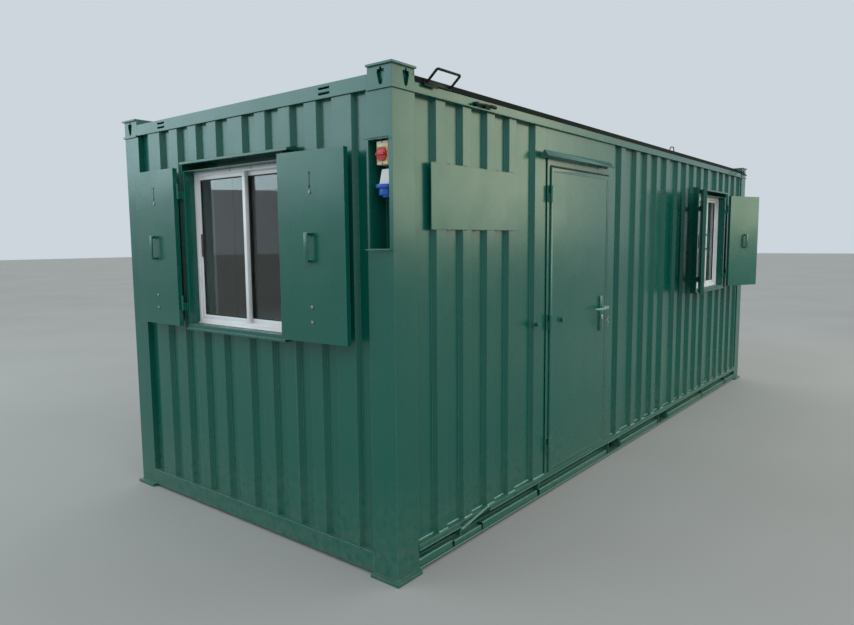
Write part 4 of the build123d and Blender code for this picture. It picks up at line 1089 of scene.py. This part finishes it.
class CABIN_OT_hoops(bpy.types.Operator):
    """Model the rod hoops on the roof edge with their base plates"""

    bl_idname = "cabin.hoops"
    bl_label = "Roof hoops"

    def execute(self, context):
        rod_radius = context.scene.cabin_sizes.hoop_rod
        roof_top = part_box("roof_deck")[1].z
        middle = roof_top - 0.0135
        base, elbow = front - 0.003, front - 0.014
        wide, leg = 0.190, 0.077
        near, far = left + 0.253, right - 0.261 - wide
        parts = []
        # Each hoop: its side, its start and its lean from upright; the far one of the door side hangs down
        for side, start, lean in (
            (1, near, 50.0),
            (1, far, 130.0),
            (-1, -near - wide, 50.0),
            (-1, -far - wide, 50.0),
        ):
            end = start + wide
            out = elbow - leg * math.sin(math.radians(lean))
            up = middle + leg * math.cos(math.radians(lean))
            bends = ((base, middle), (elbow, middle), (out, up))
            path = [(start, y, z) for y, z in bends] + [(end, y, z) for y, z in reversed(bends)]
            rod = tube(path, rod_radius, 0.0105)
            foot = plate(
                (start - 0.020, front - 0.006, roof_top - 0.026),
                (start + 0.206, front - 0.0005, roof_top - 0.001),
                0.0015,
            )
            weld = [
                bead((x, base - 0.0035, middle - 0.007), (x, base - 0.0035, middle + 0.007), 5, 0.004)
                for x in (start, end)
            ]
            whole = joined([rod, foot, *weld])
            if side < 0:
                moved(whole, Matrix.Scale(-1, 4, (0, 1, 0)))
                choose(whole, everything)
                close(whole)
            parts.append(whole)
        fitted(joined(parts), "rod_hoops", "hoop_steel", "cabin", ("roof_hoops",))
        return {"FINISHED"}


class CABIN_OT_isolator(bpy.types.Operator):
    """Model the red rotary handle and its yellow plate, and screw the switch box shut"""

    bl_idname = "cabin.isolator"
    bl_label = "Isolator switch"

    def execute(self, context):
        x, y, z = -3.180, -1.137, 2.124
        # Box: a block whose lid is set off by a narrow step and whose corners are well rounded
        box = block((x + 0.003, y - 0.0365, 2.0750), (x + 0.103, y + 0.0365, 2.1870))
        box = rounded(sunk(box, LEFTWARD, (0.0012, -0.003)), 0.0028, 3)
        fitted(box, "switch_box", "isolator_plate", stands_for=("isolator_box",))
        plate_back = plate((x - 0.0022, y - 0.033, z - 0.036), (x + 0.001, y + 0.033, z + 0.036), 0.0009)
        plate_back = sunk(plate_back, LEFTWARD, (0.003, 0.0006))
        fitted(plate_back, "switch_plate", "isolator_plate", finish="yellow_plate")

        dial = bar((x - 0.0025, y, z), (x - 0.0115, y, z), 0.0315, 48)
        dial = rounded(sunk(dial, LEFTWARD, (0.004, 0.0016), (0.002, -0.0010)), 0.0016, 3)
        grip = block((x - 0.0225, y - 0.0295, z - 0.0070), (x - 0.008, y + 0.0295, z + 0.0070))
        choose(grip, toward(LEFTWARD))
        bpy.ops.transform.resize(value=(1, 0.86, 0.62))
        bpy.ops.mesh.inset(thickness=0.0012)
        push((0.0008, 0, 0))
        grip = rounded(close(grip), 0.0014, 3)
        fitted(joined([dial, grip]), "switch_handle", "red_switch", "isolator_knob", ("isolator_knob",))

        spots = [place_facing(Vector((x, y, z + rise)), LEFTWARD) for rise in (-0.0435, 0.0565)]
        fitted(joined(copied(screw(0.0035), spots)), "switch_screws", "isolator_plate", finish="black_rubber")
        return {"FINISHED"}


class CABIN_OT_inlet(bpy.types.Operator):
    """Turn the blue collar of the power inlet, set its pins and screw its housing"""

    bl_idname = "cabin.inlet"
    bl_label = "Power inlet"

    def execute(self, context):
        x, y = -3.151, -1.138
        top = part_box("inlet_collar")[1].z
        flange = bar((x - 0.003, y + 0.002, top - 0.018), (x - 0.003, y + 0.002, top), 0.0490, 56)
        flange = rounded(sunk(flange, UPWARD, (0.006, -0.0005)), 0.0018, 3)
        # Ribs round the flange give a grip
        ribs = []
        for number in range(18):
            turn = Matrix.Rotation(number * math.tau / 18, 4, "Z")
            rib = plate((0.0470, -0.0018, top - 0.0160), (0.0505, 0.0018, top - 0.0020), 0.0008)
            ribs.append(moved(rib, Matrix.Translation((x - 0.003, y + 0.002, 0)) @ turn))
        shroud = rounded(washer((x, y, top - 0.017), DOWNWARD, 0.0395, 0.0355, 0.0355), 0.0008)
        lip = rounded(washer((x, y, top - 0.040), DOWNWARD, 0.0407, 0.0385, 0.005), 0.0008)
        fitted(joined([flange, *ribs, shroud, lip]), "inlet_collar_ring", "blue_plastic")

        pins = []
        for number in range(3):
            angle = number * math.tau / 3 + 0.4
            px, py = x + 0.014 * math.cos(angle), y + 0.014 * math.sin(angle)
            pins.append(rounded(bar((px, py, top - 0.010), (px, py, top - 0.040), 0.0030, 16), 0.001))
        bed = bar((x, y, top - 0.013), (x, y, top - 0.018), 0.0345, 40)
        pins.append(rounded(sunk(bed, DOWNWARD, (0.006, 0.002)), 0.0006))
        fitted(joined(pins), "inlet_pins", "blue_plastic", finish="key_metal")

        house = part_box("inlet_housing")[0]
        ends = [(house.x + out, y + 0.004, house.z + up) for out, up in ((0.046, 0.050), (0.0395, 0.046))]
        head = bar(*ends, 0.0032, 16)
        choose(head, lambda middle, normal: normal.x < -0.5)
        bpy.ops.mesh.inset(thickness=0.001)
        fitted(close(head), "inlet_screw", "white_housing", finish="black_rubber")
        return {"FINISHED"}


class CABIN_OT_stage(bpy.types.Operator):
    """Set the floor, the overcast light and the camera"""

    bl_idname = "cabin.stage"
    bl_label = "Stage"

    def execute(self, context):
        scene = context.scene
        bpy.ops.object.select_all(action="DESELECT")
        bpy.ops.mesh.primitive_plane_add(size=160)
        floor = bpy.context.object
        floor.name = "floor"
        floor.data.materials.append(bare_floor())

        # A dim even sky lights the cabin; the eye, metal and glass see a plain pale backdrop in its place
        world = bpy.data.worlds.new("PaleStudio")
        world.use_nodes = True
        scene.world = world
        tree = world.node_tree
        tree.nodes.clear()
        path = add_node(tree, "ShaderNodeLightPath")
        seen = combined(tree, "MAXIMUM", path.outputs["Is Camera Ray"], path.outputs["Is Glossy Ray"])
        seen = combined(tree, "MAXIMUM", seen, path.outputs["Is Transmission Ray"])
        sky = add_node(tree, "ShaderNodeBackground", {"Color": (0.92, 0.97, 1.0, 1), "Strength": 0.85})
        shown = add_node(tree, "ShaderNodeBackground", {"Color": linear("#ccd6dc"), "Strength": 1.0})
        blend = add_node(
            tree,
            "ShaderNodeMixShader",
            {0: seen, 1: sky.outputs["Background"], 2: shown.outputs["Background"]},
        )
        add_node(tree, "ShaderNodeOutputWorld", {"Surface": blend.outputs["Shader"]})

        # A high lamp shades the corrugations; a cool panel stands off the left end and a low warm one off the
        # front, so that the gloss enamel shows a clear sky on one wall and an evening glow on the other
        bpy.ops.object.select_all(action="DESELECT")
        bpy.ops.object.light_add(type="SUN", location=(0, 0, 8))
        lamp = bpy.context.object
        lamp.name = "high_lamp"
        lamp.data.energy = 0.7
        lamp.data.angle = math.radians(50)
        lamp.rotation_euler = Vector((0.55, 0.75, -1.0)).to_track_quat("-Z", "Y").to_euler()
        for name, place, aim, wide, high, colour, radiance in (
            ("cool_panel", (-10.6, 9.2, 5.55), (-3.2, 0.0, 2.2), 9.0, 5.4, (0.72, 0.93, 1.0), 2.7),
            ("warm_panel", (5.2, -7.2, 3.6), (-2.4, -1.2, 2.2), 4.6, 3.6, (0.98, 1.0, 0.66), 2.6),
        ):
            bpy.ops.object.light_add(type="AREA", location=place)
            panel = bpy.context.object
            panel.name = name
            panel.data.shape = "RECTANGLE"
            panel.data.size = wide
            panel.data.size_y = high
            panel.data.color = colour
            panel.data.energy = radiance * math.pi * wide * high
            panel.rotation_euler = (Vector(aim) - Vector(place)).to_track_quat("-Z", "Y").to_euler()

        # The camera stands where the photograph was taken from
        bpy.ops.object.camera_add(location=(-5.600, -3.333, 1.710))
        camera = bpy.context.object
        yaw, pitch, roll = (math.radians(a) for a in (38.60, 6.055, 0.479))
        forward = Vector(
            (math.cos(yaw) * math.cos(pitch), math.sin(yaw) * math.cos(pitch), -math.sin(pitch))
        )
        level = Vector((math.sin(yaw), -math.cos(yaw), 0))
        down = forward.cross(level)
        across = math.cos(roll) * level + math.sin(roll) * down
        up = math.sin(roll) * level - math.cos(roll) * down
        turn = Matrix((across, up, -forward)).transposed().to_4x4()
        camera.matrix_world = Matrix.Translation(camera.location) @ turn
        camera.data.lens = 28.34
        camera.data.sensor_width = 36
        scene.camera = camera
        scene.view_settings.view_transform = "Standard"
        return {"FINISHED"}


class CABIN_PT_panel(bpy.types.Panel):
    """Lists the cabin's settings and operators"""

    bl_idname = "CABIN_PT_panel"
    bl_label = "Site Cabin"
    bl_space_type = "VIEW_3D"
    bl_region_type = "UI"
    bl_category = "Cabin"

    def draw(self, context):
        for group in (context.scene.cabin_finish, context.scene.cabin_sizes):
            box = self.layout.box()
            for name in group.__annotations__:
                box.prop(group, name)
        for operator in operators:
            self.layout.operator(operator.bl_idname)


operators = (
    CABIN_OT_finishes,
    CABIN_OT_shutter_bolts,
    CABIN_OT_windows,
    CABIN_OT_door_trim,
    CABIN_OT_board,
    CABIN_OT_corners,
    CABIN_OT_roof_edge,
    CABIN_OT_rail_welds,
    CABIN_OT_lever,
    CABIN_OT_lock,
    CABIN_OT_hoops,
    CABIN_OT_isolator,
    CABIN_OT_inlet,
    CABIN_OT_stage,
)
classes = (CabinFinish, CabinSizes, *operators, CABIN_PT_panel)


def register():
    for group in classes:
        bpy.utils.register_class(group)
    bpy.types.Scene.cabin_finish = PointerProperty(type=CabinFinish)
    bpy.types.Scene.cabin_sizes = PointerProperty(type=CabinSizes)


def unregister():
    del bpy.types.Scene.cabin_sizes
    del bpy.types.Scene.cabin_finish
    for group in reversed(classes):
        bpy.utils.unregister_class(group)


def main():
    register()
    for operator in operators:
        group, action = operator.bl_idname.split(".")
        getattr(getattr(bpy.ops, group), action)()


if __name__ == "__main__":
    main()
